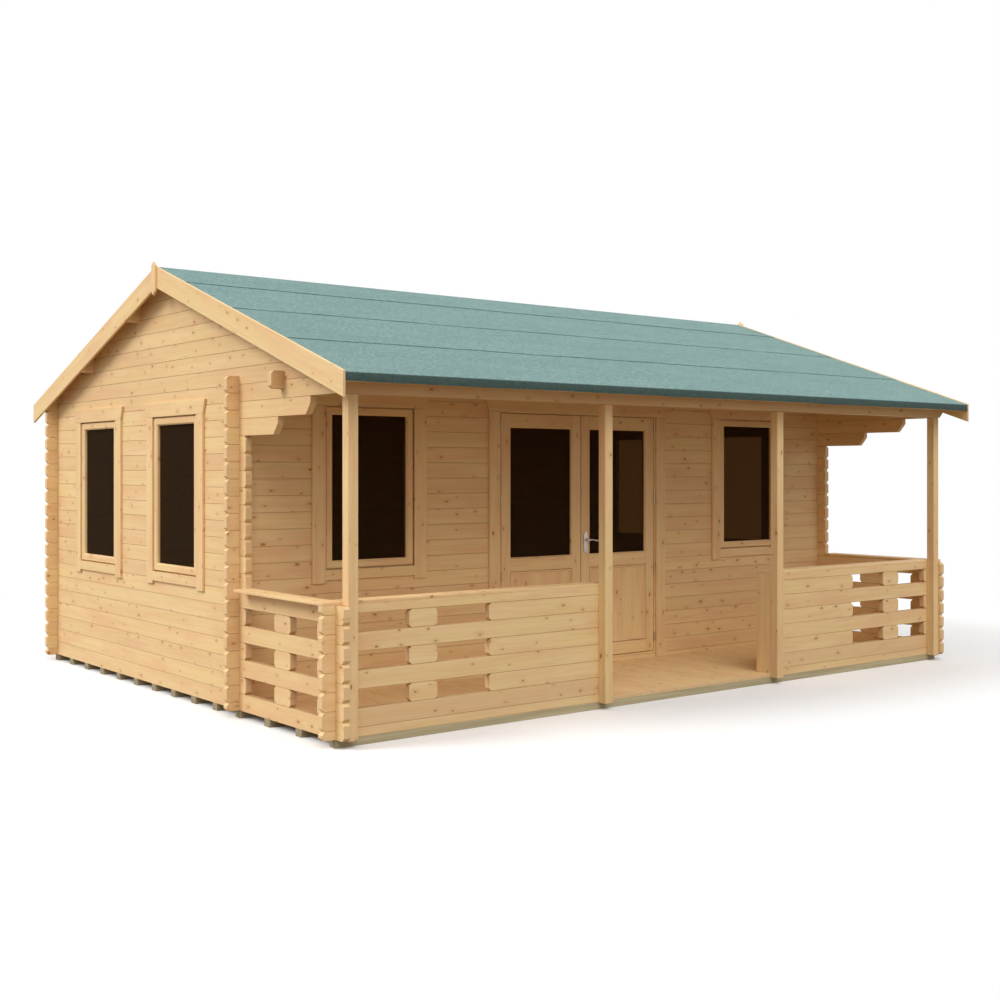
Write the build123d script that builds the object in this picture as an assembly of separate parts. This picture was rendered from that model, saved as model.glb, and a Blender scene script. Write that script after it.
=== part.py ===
from build123d import *
import os
from math import cos, radians, sqrt, tan

os.makedirs("parts", exist_ok=True)

# Wall logs: machined logs with a fine V groove along every course line, notched from below where walls cross
log_thickness = 45.0
log_height = 114.0
groove_depth = 2.5
stub_length = 92.0
end_bevel = 20.0
notch_gap = 0.2
seat_gap = 0.3

# Plan of the cabin and the courses at which its walls change
house_width = 6060.0
house_depth = 3460.0
veranda_depth = 1233.0
front_overhang = 264.0
rear_overhang = 245.0
wall_courses = 19
rail_courses = 7
corbel_courses = 16
gable_courses = 18

# Ground bearers, floor and deck
bearer_height = 50.0
bearer_width = 70.0
house_bearers = 11
veranda_bearers = 3
floor_thickness = 26.0

# Veranda rails, caps, posts, beam and tie log
slot_start = 158.0
slot_first = 368.0
slot_block = 212.0
slot_second = 409.0
side_slot_first = 391.0
side_slot_block = 207.0
side_slot_end = 213.0
cap_thickness = 19.0
cap_width = 142.0
end_board_thickness = 20.0
entrance_half_width = 862.0
post_size = 70.0
post_drop = 8.0
post_chamfer = 4.0
beam_end_chamfer = 120.0
tie_setback = 612.0

# Corbel logs under the gables
lower_corbel_reach = 528.0
upper_corbel_reach = 938.0
corbel_chamfer_length = 60.0
corbel_chamfer_height = 72.0

# Roof
roof_pitch = 19.24
deck_thickness = 19.0
felt_thickness = 4.0
felt_exposure = 762.0
felt_strips = 3
ridge_felt_reach = 490.0
purlin_width = 60.0
purlin_height = 120.0
purlin_setback = 386.0
eaves_board_thickness = 18.0
eaves_board_height = 58.0
barge_thickness = 18.0
barge_height = 145.0
barge_rise = 12.0
finial_width = 60.0
finial_rise = 30.0
finial_drop = 60.0
finial_point = 28.0

# Windows, all six alike, and the boards round them
window_width = 787.0
window_height = 1185.0
window_head_drop = 41.0
side_window_offset = 730.0
frame_proud = 6.0
sash_margin = 26.0
sash_line = 4.0
sash_line_depth = 9.0
sash_width = 56.0
glass_bevel = 9.0
glass_thickness = 4.0
glass_depth = 18.0
glass_bite = 9.0
trim_thickness = 18.0
trim_lap = 20.0
trim_width = 105.0
trim_head_height = 104.0
trim_ear = 36.0
trim_sill_height = 70.0
trim_foot = 22.0
trim_joint = 0.6

# Double doors
leaf_width = 812.0
leaf_thickness = 42.0
leaf_gap = 6.0
meeting_gap = 8.0
threshold_height = 17.0
head_jamb_height = 68.0
jamb_thickness = 40.0
jamb_depth = 75.0
stop_width = 14.0
stop_depth = 16.0
stile_width = 98.0
top_rail = 109.0
pane_height = 1005.0
middle_rail = 118.0
bottom_rail = 112.0
panel_recess = 10.0
door_trim_reveal = 14.0

# Barrel hinges of the doors
hinges_per_leaf = 4
hinge_low_margin = 118.0
hinge_high_margin = 90.0
knuckle_radius = 7.0
knuckle_length = 38.0
knuckle_sides = 6
pin_radius = 3.5
pin_length = 30.0
running_gap = 0.3

# Lever handle on the right leaf
handle_backset = 44.0
handle_height = 953.0
plate_width = 42.0
plate_height = 178.0
plate_thickness = 8.0
plate_corner = 9.0
plate_below_lever = 108.0
plate_hole_sides = 12
spindle_size = 8.0
spindle_bore_size = 14.0
neck_radius = 9.0
neck_length = 44.0
lever_length = 118.0
lever_width = 20.0
lever_depth = 14.0
lever_edge = 4.0


# Levels and lines that the pieces share: the ridge is over y = 0 and the ground is z = 0
base_z = bearer_height
half_log = log_height / 2
slope = tan(radians(roof_pitch))
lean = cos(radians(roof_pitch))
roof_half_depth = (front_overhang + veranda_depth + house_depth + rear_overhang) / 2
left_x = -house_width / 2
room_left_x = left_x + log_thickness
stub_x = left_x - stub_length
back_y = roof_half_depth - rear_overhang
back_face_y = back_y - log_thickness
front_y = back_y - house_depth
rail_y = front_y - veranda_depth
post_y = rail_y - post_size
tie_y = front_y - tie_setback
rear_end_y = back_y + stub_length
front_end_y = front_y - stub_length
rail_end_y = rail_y - stub_length
floor_z = base_z + floor_thickness
rail_top = base_z + rail_courses * log_height
corbel_z = base_z + corbel_courses * log_height
gable_z = base_z + gable_courses * log_height
wall_top = base_z + half_log + wall_courses * log_height
door_foot = base_z + half_log
door_head = wall_top - log_height
side_lines = [base_z + n * log_height for n in range(2 * wall_courses)]
front_lines = [z + half_log for z in side_lines]


def roof_z(y):
    """Level of the roof's underside at a distance y from the ridge line."""
    return wall_top + slope * (back_y - abs(y))


def box(x0, x1, y0, y1, z0, z1):
    """Block between two corners."""
    low_corner = (Align.MIN, Align.MIN, Align.MIN)
    return Pos(x0, y0, z0) * Box(x1 - x0, y1 - y0, z1 - z0, align=low_corner)


def run_x(points, x0, x1):
    """Prism along X with its outline given as (y, z) points."""
    plane = Plane(origin=(x0, 0, 0), x_dir=(0, 1, 0), z_dir=(1, 0, 0))
    return extrude(plane * Polygon(*points, align=None), amount=x1 - x0, dir=(1, 0, 0))


def run_y(points, y0, y1):
    """Prism along Y with its outline given as (x, z) points."""
    plane = Plane(origin=(0, y0, 0), x_dir=(1, 0, 0), z_dir=(0, -1, 0))
    return extrude(plane * Polygon(*points, align=None), amount=y1 - y0, dir=(0, 1, 0))


def at_right(piece):
    """The same piece at the right-hand end of the cabin."""
    return mirror(piece, about=Plane.YZ)


def at_rear(piece):
    """The same piece on the rear slope of the roof."""
    return mirror(piece, about=Plane.XZ)


def save(name, *pieces):
    """Write the solids of one named piece."""
    solids = [solid for piece in pieces for solid in piece.solids()]
    shape = solids[0] if len(solids) == 1 else Compound(solids)
    export_step(shape, f"parts/{name}.step")


# Log walls: how logs are grooved, bevelled at their ends and notched
def log_section(face, low, high, lines, near_grooved=True, far_grooved=True):
    """Section of stacked logs from one level to another, grooved at each course line on one or both faces."""
    grooved = [(groove_depth, low), (0, low + groove_depth)]
    for z in lines:
        if low + 2 * groove_depth < z < high - 2 * groove_depth:
            grooved += [(0, z - groove_depth), (groove_depth, z), (0, z + groove_depth)]
    grooved += [(0, high - groove_depth), (groove_depth, high)]
    planed = [(0, low), (0, high)]
    near = grooved if near_grooved else planed
    far = grooved if far_grooved else planed
    points = near + [(log_thickness - n, z) for n, z in reversed(far)]
    return [(face + n, z) for n, z in points]


def lines_between(lines, low, high):
    """The course lines from one level to another, both included."""
    return [z for z in lines if low - groove_depth < z < high + groove_depth]


def starts_between(lines, low, high):
    """The lines at which logs start, from one level to below another."""
    return [z for z in lines if low - groove_depth < z < high - groove_depth]


def bevel_points(end, inward, z):
    """Outline of the wedge that bevels the log ends above and below one course line."""
    outside = end - inward * end_bevel
    return [(outside, z - 2 * end_bevel), (end + inward * end_bevel, z), (outside, z + 2 * end_bevel)]


def bevels_x(x_end, inward, y0, lines):
    """Bevels on the log ends of a wall that runs along X."""
    return [run_y(bevel_points(x_end, inward, z), y0, y0 + log_thickness) for z in lines]


def bevels_y(y_end, inward, lines):
    """Bevels on the log ends of the left side wall."""
    return [run_x(bevel_points(y_end, inward, z), left_x, room_left_x) for z in lines]


def slot_points(start, end, low, high):
    """Outline of a slot in a rail: the cut log's ends are bevelled above and below, as at the corners."""
    b = end_bevel
    return [(start - b, low), (start, low + b), (start, high - b), (start - b, high),
            (end + b, high), (end, high - b), (end, low + b), (end + b, low)]


def notches(x0, y0, lines):
    """Notches half a log high, cut up into the underside of each log that starts at the given lines."""
    g = notch_gap
    return [box(x0 - g, x0 + log_thickness + g, y0 - g, y0 + log_thickness + g, z, z + half_log + g)
            for z in lines]


roof_reach = 2 * roof_half_depth
above_roof = run_x([(-roof_reach, roof_z(roof_reach)), (0, roof_z(0)), (roof_reach, roof_z(roof_reach)),
                    (roof_reach, roof_reach), (-roof_reach, roof_reach)],
                   stub_x - stub_length, stub_length - stub_x)


# Ground bearers under the walls, floor and deck
front_bearer_y = front_y + (log_thickness - bearer_width) / 2
house_step = (back_y - bearer_width - front_bearer_y) / (house_bearers - 1)
veranda_step = (front_bearer_y - rail_y) / veranda_bearers
bearer_lines = [front_bearer_y + n * house_step for n in range(house_bearers)]
bearer_lines += [rail_y + n * veranda_step for n in range(veranda_bearers)]
save("bearers", *[box(left_x, -left_x, y, y + bearer_width, 0, bearer_height) for y in bearer_lines])


def slab(y0, y1):
    """Floor from wall to wall."""
    x0 = room_left_x + seat_gap
    return box(x0, -x0, y0, y1, base_z, floor_z)


save("floor", slab(front_y + log_thickness + seat_gap, back_face_y - seat_gap))
end_board_x = -entrance_half_width - end_board_thickness
lip_y = rail_y + log_thickness + seat_gap
deck_lip = box(end_board_x + seat_gap, -end_board_x - seat_gap, rail_y, lip_y, base_z, floor_z)
save("deck", slab(lip_y, front_y - seat_gap) + deck_lip)


# Windows, in a frame of their own: outer wall face at y = 0, head of the opening at z = 0
border = sash_margin + sash_width
pane_w = window_width - 2 * border


def opening_box(margin, y0, y1):
    """Block that fills the window opening less a margin all round."""
    half = window_width / 2 - margin
    return box(-half, half, y0, y1, margin - window_height, -margin)


def splay(width, low, high, y_face, inward, depth):
    """Sunk rectangle with splayed edges: wider by its depth at the face than at its bottom."""
    plane = Plane(origin=(0, y_face, (low + high) / 2), x_dir=(1, 0, 0), z_dir=(0, inward, 0))
    mouth = plane * Rectangle(width + 2 * depth, high - low + 2 * depth)
    return extrude(mouth, amount=depth, taper=45)


def window_pane(grow):
    """Sheet of glass held in the sash, or the groove for it."""
    return opening_box(border - glass_bite - grow, glass_depth - grow, glass_depth + glass_thickness + grow)


def window_frame():
    """Frame in the wall and a sash that stands proud of it, with a shadow line between them."""
    sash_edge = sash_margin + sash_line
    frame = opening_box(seat_gap, 0, log_thickness) + opening_box(sash_edge, -frame_proud, 0)
    frame -= opening_box(sash_margin, 0, sash_line_depth) - opening_box(sash_edge, 0, sash_line_depth)
    frame -= opening_box(border, -frame_proud, log_thickness)
    frame -= splay(pane_w, border - window_height, -border, -frame_proud, 1, glass_bevel)
    return frame - window_pane(seat_gap)


def trim_sides(inner, foot, head):
    """Two upright trim boards under a head board with splayed ends."""
    outer = inner + trim_width
    tip = outer + trim_ear
    top = head + trim_head_height
    head_board = run_y([(-outer, head), (outer, head), (tip, top), (-tip, top)], -trim_thickness, 0)
    left_board = box(-outer, -inner, -trim_thickness, 0, foot, head - trim_joint)
    return [head_board, left_board, at_right(left_board)]


def window_trim():
    """Outside trim of one window: sides, head and the board under the sash."""
    inner = window_width / 2 - trim_lap
    sill_top = trim_lap - window_height
    sill_low = sill_top - trim_sill_height
    sill_board = box(trim_joint - inner, inner - trim_joint, -trim_thickness, 0, sill_low, sill_top)
    return trim_sides(inner, sill_low - trim_foot, -trim_lap) + [sill_board]


jamb_x = leaf_width + meeting_gap / 2 + leaf_gap
door_trim_x = jamb_x + door_trim_reveal
window_x = (door_trim_x + trim_width + trim_ear - left_x) / 2
window_head = door_head - window_head_drop
side_window_head = window_head - half_log
side_middle_y = (front_y + back_y) / 2
front_places = [Pos(-window_x, front_y, window_head), Pos(window_x, front_y, window_head)]
left_places = [Pos(left_x, side_middle_y + n * side_window_offset, side_window_head) * Rot(0, 0, -90)
               for n in (-1, 1)]
right_places = [Pos(-left_x, side_middle_y + n * side_window_offset, side_window_head) * Rot(0, 0, 90)
                for n in (-1, 1)]
window_places = front_places + left_places + right_places
wall_cut = opening_box(0, -log_thickness, 2 * log_thickness)
save("window_frames", *[place * window_frame() for place in window_places])
save("window_panes", *[place * window_pane(0) for place in window_places])


# Purlins, veranda tie log and eaves beam
inner_purlin_y = front_y / 2
outer_purlin_y = front_y - purlin_setback
purlin_lines = [inner_purlin_y, outer_purlin_y, -inner_purlin_y, -outer_purlin_y]


def purlin(y, grow):
    """Purlin with its top planed to the roof's pitch, or the seat for it."""
    y0 = y - purlin_width / 2 - grow
    y1 = y + purlin_width / 2 + grow
    low = min(roof_z(y0), roof_z(y1)) - purlin_height - grow
    return run_x([(y0, low), (y1, low), (y1, roof_z(y1)), (y0, roof_z(y0))], stub_x, -stub_x)


def ridge_purlin(grow):
    """Ridge purlin with its top planed both ways, or the seat for it."""
    half = purlin_width / 2 + grow
    low = roof_z(half) - purlin_height - grow
    points = [(-half, low), (half, low), (half, roof_z(half)), (0, roof_z(0)), (-half, roof_z(half))]
    return run_x(points, stub_x, -stub_x)


def all_purlins(grow):
    """The ridge purlin and the four others."""
    return [ridge_purlin(grow)] + [purlin(y, grow) for y in purlin_lines]


save("purlins", *all_purlins(0))
corners = [(left_x, stub_x, 1), (-room_left_x, -stub_x, -1)]


def cross_wall(face, low, high, near_grooved=True, far_grooved=True):
    """Full-width logs along X with notched corners and bevelled stubs."""
    wall = run_x(log_section(face, low, high, front_lines, near_grooved, far_grooved), stub_x, -stub_x)
    for wall_x, end_x, inward in corners:
        wall -= notches(wall_x, face, starts_between(front_lines, low, high))
        wall -= bevels_x(end_x, inward, face, lines_between([base_z] + front_lines, low, high))
    return wall


save("veranda_tie_log", cross_wall(tie_y, door_head, wall_top))
beam_chamfer_x = stub_x + beam_end_chamfer
beam_chamfer_z = gable_z + beam_end_chamfer
beam_points = [(beam_chamfer_x, gable_z), (-beam_chamfer_x, gable_z), (-stub_x, beam_chamfer_z),
               (-stub_x, wall_top), (stub_x, wall_top), (stub_x, beam_chamfer_z)]
save("eaves_beam", run_y(beam_points, post_y, rail_y - seat_gap) - above_roof)


# Front and back walls, planed flush towards the room: the front one is a sill log, two stretches beside
# the doors and a top over them
door_half = jamb_x + jamb_thickness + seat_gap
save("front_sill_log", cross_wall(front_y, base_z, door_foot))
front_left = cross_wall(front_y, door_foot, door_head, far_grooved=False)
front_left -= box(-door_half, -stub_x, front_y, front_y + log_thickness, door_foot, door_head)
front_left -= front_places[0] * wall_cut
save("front_wall_left", front_left)
save("front_wall_right", at_right(front_left))
infill_x = room_left_x + seat_gap
infill_high = roof_z(front_y + log_thickness) + log_height
infill = run_x(log_section(front_y, wall_top, infill_high, front_lines), infill_x, -infill_x) - above_roof
save("front_wall_top", cross_wall(front_y, door_head, wall_top) + infill)
back_wall = cross_wall(back_face_y, base_z, wall_top + log_height, near_grooved=False)
save("back_wall", back_wall - above_roof)


# Side walls: the lower logs run on as the veranda's side rail, the upper ones as corbels under the gable
crossing_lines = side_lines[:wall_courses + 1]
crossing_cuts = notches(left_x, front_y, crossing_lines) + notches(left_x, back_face_y, crossing_lines)
side_windows = [place * wall_cut for place in left_places]


def side_wall(low, high, y0, rear_bevels_high, inside_grooved=True):
    """Stretch of the left wall from y0 to its rear stubs, with notches, windows and bevelled rear ends."""
    section = log_section(left_x, low, high, side_lines, far_grooved=inside_grooved)
    wall = run_y(section, y0, rear_end_y)
    wall -= bevels_y(rear_end_y, -1, lines_between(side_lines, low, rear_bevels_high))
    return wall - crossing_cuts - side_windows


def side_slots():
    """Three rows of two slots in the veranda's side rail."""
    block_y = front_end_y - side_slot_first
    stretches = [(block_y, front_end_y), (rail_y + side_slot_end, block_y - side_slot_block)]
    return [run_x(slot_points(y0, y1, side_lines[row], side_lines[row + 1]), left_x, room_left_x)
            for row in range(1, rail_courses, 2) for y0, y1 in stretches]


def corbel_front(reach, low):
    """What is cut away in front of a corbel log: a plumb end over a slanted lower corner."""
    y = front_y - reach
    high = low + log_height
    points = [(y, high), (y, low + corbel_chamfer_height), (y + corbel_chamfer_length, low),
              (rail_y, low), (rail_y, high)]
    return run_x(points, left_x, room_left_x)


lower = side_wall(base_z, rail_top, rail_end_y, rail_top) - side_slots()
lower -= notches(left_x, rail_y, side_lines[:rail_courses])
lower -= bevels_y(rail_end_y, 1, lines_between(side_lines, base_z, rail_top))
middle = side_wall(rail_top, corbel_z, front_end_y, corbel_z, inside_grooved=False)
middle -= bevels_y(front_end_y, 1, lines_between(side_lines, rail_top, corbel_z))
corbels = side_wall(corbel_z, gable_z, rail_y, gable_z)
corbels -= corbel_front(lower_corbel_reach, corbel_z)
corbels -= corbel_front(upper_corbel_reach, corbel_z + log_height)
gable = side_wall(gable_z, roof_z(0) + log_height, rail_y, gable_z + log_height) - above_roof
gable -= all_purlins(seat_gap)
gable -= notches(left_x, tie_y, [wall_top - half_log])
side_pieces = {"wall_lower": lower, "wall_middle": middle, "wall_corbels": corbels, "gable": gable}
for name, piece in side_pieces.items():
    save(f"left_{name}", piece)
    save(f"right_{name}", at_right(piece))


# Veranda front rails with their slots, caps, end boards and posts
rail = run_x(log_section(rail_y, base_z, rail_top, front_lines), stub_x, end_board_x - seat_gap)
rail -= notches(left_x, rail_y, starts_between(front_lines, base_z, rail_top))
rail -= bevels_x(stub_x, 1, rail_y, lines_between([base_z] + front_lines, base_z, rail_top))
slot_x = left_x + slot_start
slot_second_x = slot_x + slot_first + slot_block
for row in range(1, rail_courses, 2):
    for x, length in ((slot_x, slot_first), (slot_second_x, slot_second)):
        outline = slot_points(x, x + length, front_lines[row], front_lines[row + 1])
        rail -= run_y(outline, rail_y, rail_y + log_thickness)
save("left_front_rail", rail)
save("right_front_rail", at_right(rail))

cap_top = rail_top + cap_thickness
cap_rear_y = rail_y + cap_width
front_cap = box(stub_x, -entrance_half_width, rail_y, cap_rear_y, rail_top, cap_top)
side_cap = box(stub_x, stub_x + cap_width, cap_rear_y + seat_gap, front_end_y - seat_gap, rail_top, cap_top)
save("rail_caps", front_cap, side_cap, at_right(front_cap), at_right(side_cap))
end_board = box(end_board_x, -entrance_half_width, rail_y, cap_rear_y, floor_z, rail_top - seat_gap)
save("rail_end_boards", end_board, at_right(end_board))


def post(x0):
    """Square veranda post with eased corners, in front of the rail and under the eaves beam."""
    block = box(x0, x0 + post_size, post_y, rail_y - seat_gap, base_z - post_drop, gable_z - seat_gap)
    return chamfer(block.edges().filter_by(Axis.Z), post_chamfer)


corner_post = post(room_left_x + seat_gap)
inner_post = post(-entrance_half_width - post_size)
save("veranda_posts", corner_post, inner_post, at_right(corner_post), at_right(inner_post))


# Roof: boards, lapped felt, eaves boards, bargeboards and finials
deck_rise = deck_thickness / lean
felt_rise = felt_thickness / lean
eaves_out = roof_half_depth - felt_thickness - seat_gap
eaves_in = eaves_out - eaves_board_thickness
deck_edge = eaves_in - seat_gap


def deck_low(y):
    """Underside of the roof boards."""
    return roof_z(y) + seat_gap


def deck_top(y):
    """Top of the roof boards."""
    return deck_low(y) + deck_rise


def felt_z(y, layers):
    """Level above the roof boards by a number of felt layers."""
    return deck_top(y) + seat_gap + layers * felt_rise


roof_boards = run_x([(-seat_gap, deck_low(seat_gap)), (-deck_edge, deck_low(deck_edge)),
                     (-deck_edge, deck_top(deck_edge)), (-seat_gap, deck_top(seat_gap))], stub_x, -stub_x)
save("front_roof_boards", roof_boards)
save("rear_roof_boards", at_rear(roof_boards))

eaves_foot = deck_top(eaves_in) - eaves_board_height
eaves_board = run_x([(-eaves_in, eaves_foot), (-eaves_out, eaves_foot), (-eaves_out, deck_top(eaves_out)),
                     (-eaves_in, deck_top(eaves_in))], stub_x, -stub_x)
save("eaves_boards", eaves_board, at_rear(eaves_board))


def felt_outline():
    """Felt on one slope: turned down over the eaves board, each strip lapped over the one below it."""
    inner = eaves_out + seat_gap
    points = [(-seat_gap, felt_z(seat_gap, 0)), (-inner, felt_z(inner, 0)), (-inner, eaves_foot),
              (-roof_half_depth, eaves_foot), (-roof_half_depth, felt_z(roof_half_depth, 1))]
    for strip in range(1, felt_strips):
        y = roof_half_depth - strip * felt_exposure * lean
        points += [(-y, felt_z(y, 1)), (-y, felt_z(y, 2))]
    return points + [(-ridge_felt_y, felt_z(ridge_felt_y, 1)), (-seat_gap, felt_z(seat_gap, 1))]


ridge_felt_y = ridge_felt_reach * lean
felt = run_x(felt_outline(), stub_x, -stub_x)
save("front_felt", felt)
save("rear_felt", at_rear(felt))
ridge_low = felt_z(ridge_felt_y, 1) + seat_gap
ridge_high = felt_z(0, 1) + seat_gap
save("ridge_felt", run_x([(-ridge_felt_y, ridge_low), (0, ridge_high), (ridge_felt_y, ridge_low),
                          (ridge_felt_y, ridge_low + felt_rise), (0, ridge_high + felt_rise),
                          (-ridge_felt_y, ridge_low + felt_rise)], stub_x, -stub_x))


def barge_z(y):
    """Upper edge of the bargeboards."""
    return deck_top(y) + barge_rise


barge_drop = barge_height / lean
barge_in_x = stub_x - seat_gap
barge_out_x = barge_in_x - barge_thickness
bargeboard = run_x([(-seat_gap, barge_z(seat_gap) - barge_drop),
                    (-roof_half_depth, barge_z(roof_half_depth) - barge_drop),
                    (-roof_half_depth, barge_z(roof_half_depth)), (-seat_gap, barge_z(seat_gap))],
                   barge_out_x, barge_in_x)
save("bargeboards", bargeboard, at_rear(bargeboard), at_right(bargeboard), at_rear(at_right(bargeboard)))
finial_half = finial_width / 2
finial_low = barge_z(0) - barge_drop - finial_drop
finial_high = barge_z(0) + finial_rise
point_low = finial_low + finial_point
point_high = finial_high - finial_point
finial = run_x([(0, finial_low), (finial_half, point_low), (finial_half, point_high), (0, finial_high),
                (-finial_half, point_high), (-finial_half, point_low)],
               barge_out_x - barge_thickness, barge_out_x)
save("finials", finial, at_right(finial))


# Double doors: hinges on the outer edges, frame with stops, leaves with a pane over a sunk panel
leaf_low = door_foot + threshold_height + leaf_gap
leaf_high = door_head - seat_gap - head_jamb_height - leaf_gap
leaf_x0 = leaf_gap - jamb_x
leaf_x1 = -meeting_gap / 2
leaf_mid_x = (leaf_x0 + leaf_x1) / 2
leaf_y = front_y + leaf_thickness
pin_x = leaf_gap / 2 - jamb_x
pin_y = front_y - sqrt((knuckle_radius + seat_gap) ** 2 - (leaf_gap / 2) ** 2)
hinge_low = leaf_low + hinge_low_margin
hinge_step = (leaf_high - hinge_high_margin - hinge_low) / (hinges_per_leaf - 1)
hinge_levels = [hinge_low + n * hinge_step for n in range(hinges_per_leaf)]


def upright(sketch, z0, z1):
    """Sketch set on the left leaf's hinge line and carried up from one level to another."""
    return extrude(Pos(pin_x, pin_y, z0) * sketch, amount=z1 - z0, dir=(0, 0, 1))


def frame_knuckle(z):
    """Frame half of a hinge: knuckle and pin."""
    knuckle = upright(RegularPolygon(knuckle_radius, knuckle_sides), z - knuckle_length, z)
    return knuckle + upright(RegularPolygon(pin_radius, knuckle_sides), z, z + pin_length)


def leaf_knuckle(z):
    """Leaf half of a hinge: knuckle bored for the pin."""
    low = z + running_gap
    knuckle = upright(RegularPolygon(knuckle_radius, knuckle_sides), low, low + knuckle_length)
    bore = RegularPolygon(pin_radius + running_gap, knuckle_sides, major_radius=False)
    return knuckle - upright(bore, low, z + pin_length + running_gap)


jamb = box(-door_half + seat_gap, -jamb_x, front_y, front_y + jamb_depth, door_foot, door_head - seat_gap)
inner_x = jamb_x - seat_gap
head_low = leaf_high + leaf_gap
head_jamb = box(-inner_x, inner_x, front_y, front_y + jamb_depth, head_low, door_head - seat_gap)
threshold_top = door_foot + threshold_height
threshold = box(-inner_x, inner_x, front_y, front_y + jamb_depth, door_foot, threshold_top)
stop_y = leaf_y + leaf_gap
stop_x = jamb_x - stop_width
stop_back_y = stop_y + stop_depth
side_stop = box(-inner_x, -stop_x, stop_y, stop_back_y, threshold_top + seat_gap, head_low - seat_gap)
head_stop = box(seat_gap - stop_x, stop_x - seat_gap, stop_y, stop_back_y,
                head_low - stop_width, head_low - seat_gap)
save("door_frame", jamb, at_right(jamb), head_jamb, threshold, side_stop, at_right(side_stop), head_stop)

door_pane_w = leaf_width - 2 * stile_width
pane_high = leaf_high - top_rail
pane_low = pane_high - pane_height
panel_low = leaf_low + bottom_rail
panel_high = pane_low - middle_rail


def door_pane(grow):
    """Sheet of glass in the left leaf, or the groove for it."""
    half = door_pane_w / 2 + glass_bite + grow
    edge = glass_bite + grow
    y = front_y + (leaf_thickness - glass_thickness) / 2
    return box(leaf_mid_x - half, leaf_mid_x + half, y - grow, y + glass_thickness + grow,
               pane_low - edge, pane_high + edge)


def door_leaf():
    """Left leaf: stiles and rails round a splayed glass opening and a panel sunk on both faces."""
    leaf = box(leaf_x0, leaf_x1, front_y, leaf_y, leaf_low, leaf_high)
    half = door_pane_w / 2
    leaf -= box(leaf_mid_x - half, leaf_mid_x + half, front_y, leaf_y, pane_low, pane_high)
    for face_y, inward in ((front_y, 1), (leaf_y, -1)):
        pane_mouth = splay(door_pane_w, pane_low, pane_high, face_y, inward, glass_bevel)
        panel_mouth = splay(door_pane_w, panel_low, panel_high, face_y, inward, panel_recess)
        leaf -= [Pos(leaf_mid_x, 0, 0) * mouth for mouth in (pane_mouth, panel_mouth)]
    return leaf - door_pane(seat_gap)


lever_x = meeting_gap / 2 + handle_backset
lever_z = leaf_low + handle_height


def through(y_face, outward, z):
    """Plane across the lever's spindle, on a face of the right leaf."""
    return Plane(origin=(lever_x, y_face, z), x_dir=(1, 0, 0), z_dir=(0, outward, 0))


spindle_plane = through(front_y, 1, lever_z)
left_leaf = door_leaf()
save("left_door", left_leaf)
bore_outline = spindle_plane * Rectangle(spindle_bore_size, spindle_bore_size)
spindle_bore = extrude(bore_outline, amount=leaf_thickness)
save("right_door", at_right(left_leaf) - spindle_bore)
save("left_door_pane", door_pane(0))
save("right_door_pane", at_right(door_pane(0)))
frame_knuckles = [frame_knuckle(z) for z in hinge_levels]
leaf_knuckles = [leaf_knuckle(z) for z in hinge_levels]
save("frame_hinges", *frame_knuckles, *[at_right(knuckle) for knuckle in frame_knuckles])
save("left_door_hinges", *leaf_knuckles)
save("right_door_hinges", *[at_right(knuckle) for knuckle in leaf_knuckles])

door_trim = trim_sides(door_trim_x, floor_z + seat_gap, head_low + leaf_gap)
door_trims = [Pos(0, front_y, 0) * board for board in door_trim]
window_trims = [place * board for place in window_places for board in window_trim()]
save("outside_trims", *window_trims, *door_trims)


# Lever handle: a plate and a lever on each face of the right leaf, on one square spindle
def plate(y_face, outward):
    """Long plate with cut corners and a hole for the lever's neck."""
    middle_z = lever_z - plate_below_lever + plate_height / 2
    outline = chamfer(Rectangle(plate_width, plate_height).vertices(), plate_corner)
    body = extrude(through(y_face, outward, middle_z) * outline, amount=plate_thickness)
    hole = RegularPolygon(neck_radius + running_gap, plate_hole_sides, major_radius=False)
    return body - extrude(through(y_face, outward, lever_z) * hole, amount=plate_thickness)


def lever(y_face, outward):
    """Round neck and a flat lever with eased edges that points away from the meeting stile."""
    neck = extrude(through(y_face, outward, lever_z) * Circle(neck_radius), amount=neck_length)
    root_x = lever_x - lever_width / 2
    section = chamfer(Rectangle(lever_width, lever_depth).vertices(), lever_edge)
    bar_y = y_face + outward * neck_length
    plane = Plane(origin=(root_x, bar_y, lever_z), x_dir=(0, 0, 1), z_dir=(1, 0, 0))
    return neck + extrude(plane * section, amount=lever_length + lever_width / 2)


save("handle_plates", plate(front_y, -1), plate(leaf_y, 1))
spindle = extrude(spindle_plane * Rectangle(spindle_size, spindle_size), amount=leaf_thickness)
save("door_lever", lever(front_y, -1) + spindle + lever(leaf_y, 1))
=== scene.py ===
# %% [markdown]
# # A log cabin with a veranda
# The logs, roof and doors of this cabin come packed as solids, in metres, in one fixed frame.
# This lesson dresses them: timber gets its grain and knots, boards get eased edges, the roof gets its
# felt and the doors get their fittings. Every new piece is worked out in that same frame, so nothing
# has to be fitted by eye.

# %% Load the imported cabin
from math import cos, pi, radians, sin, tan

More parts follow.
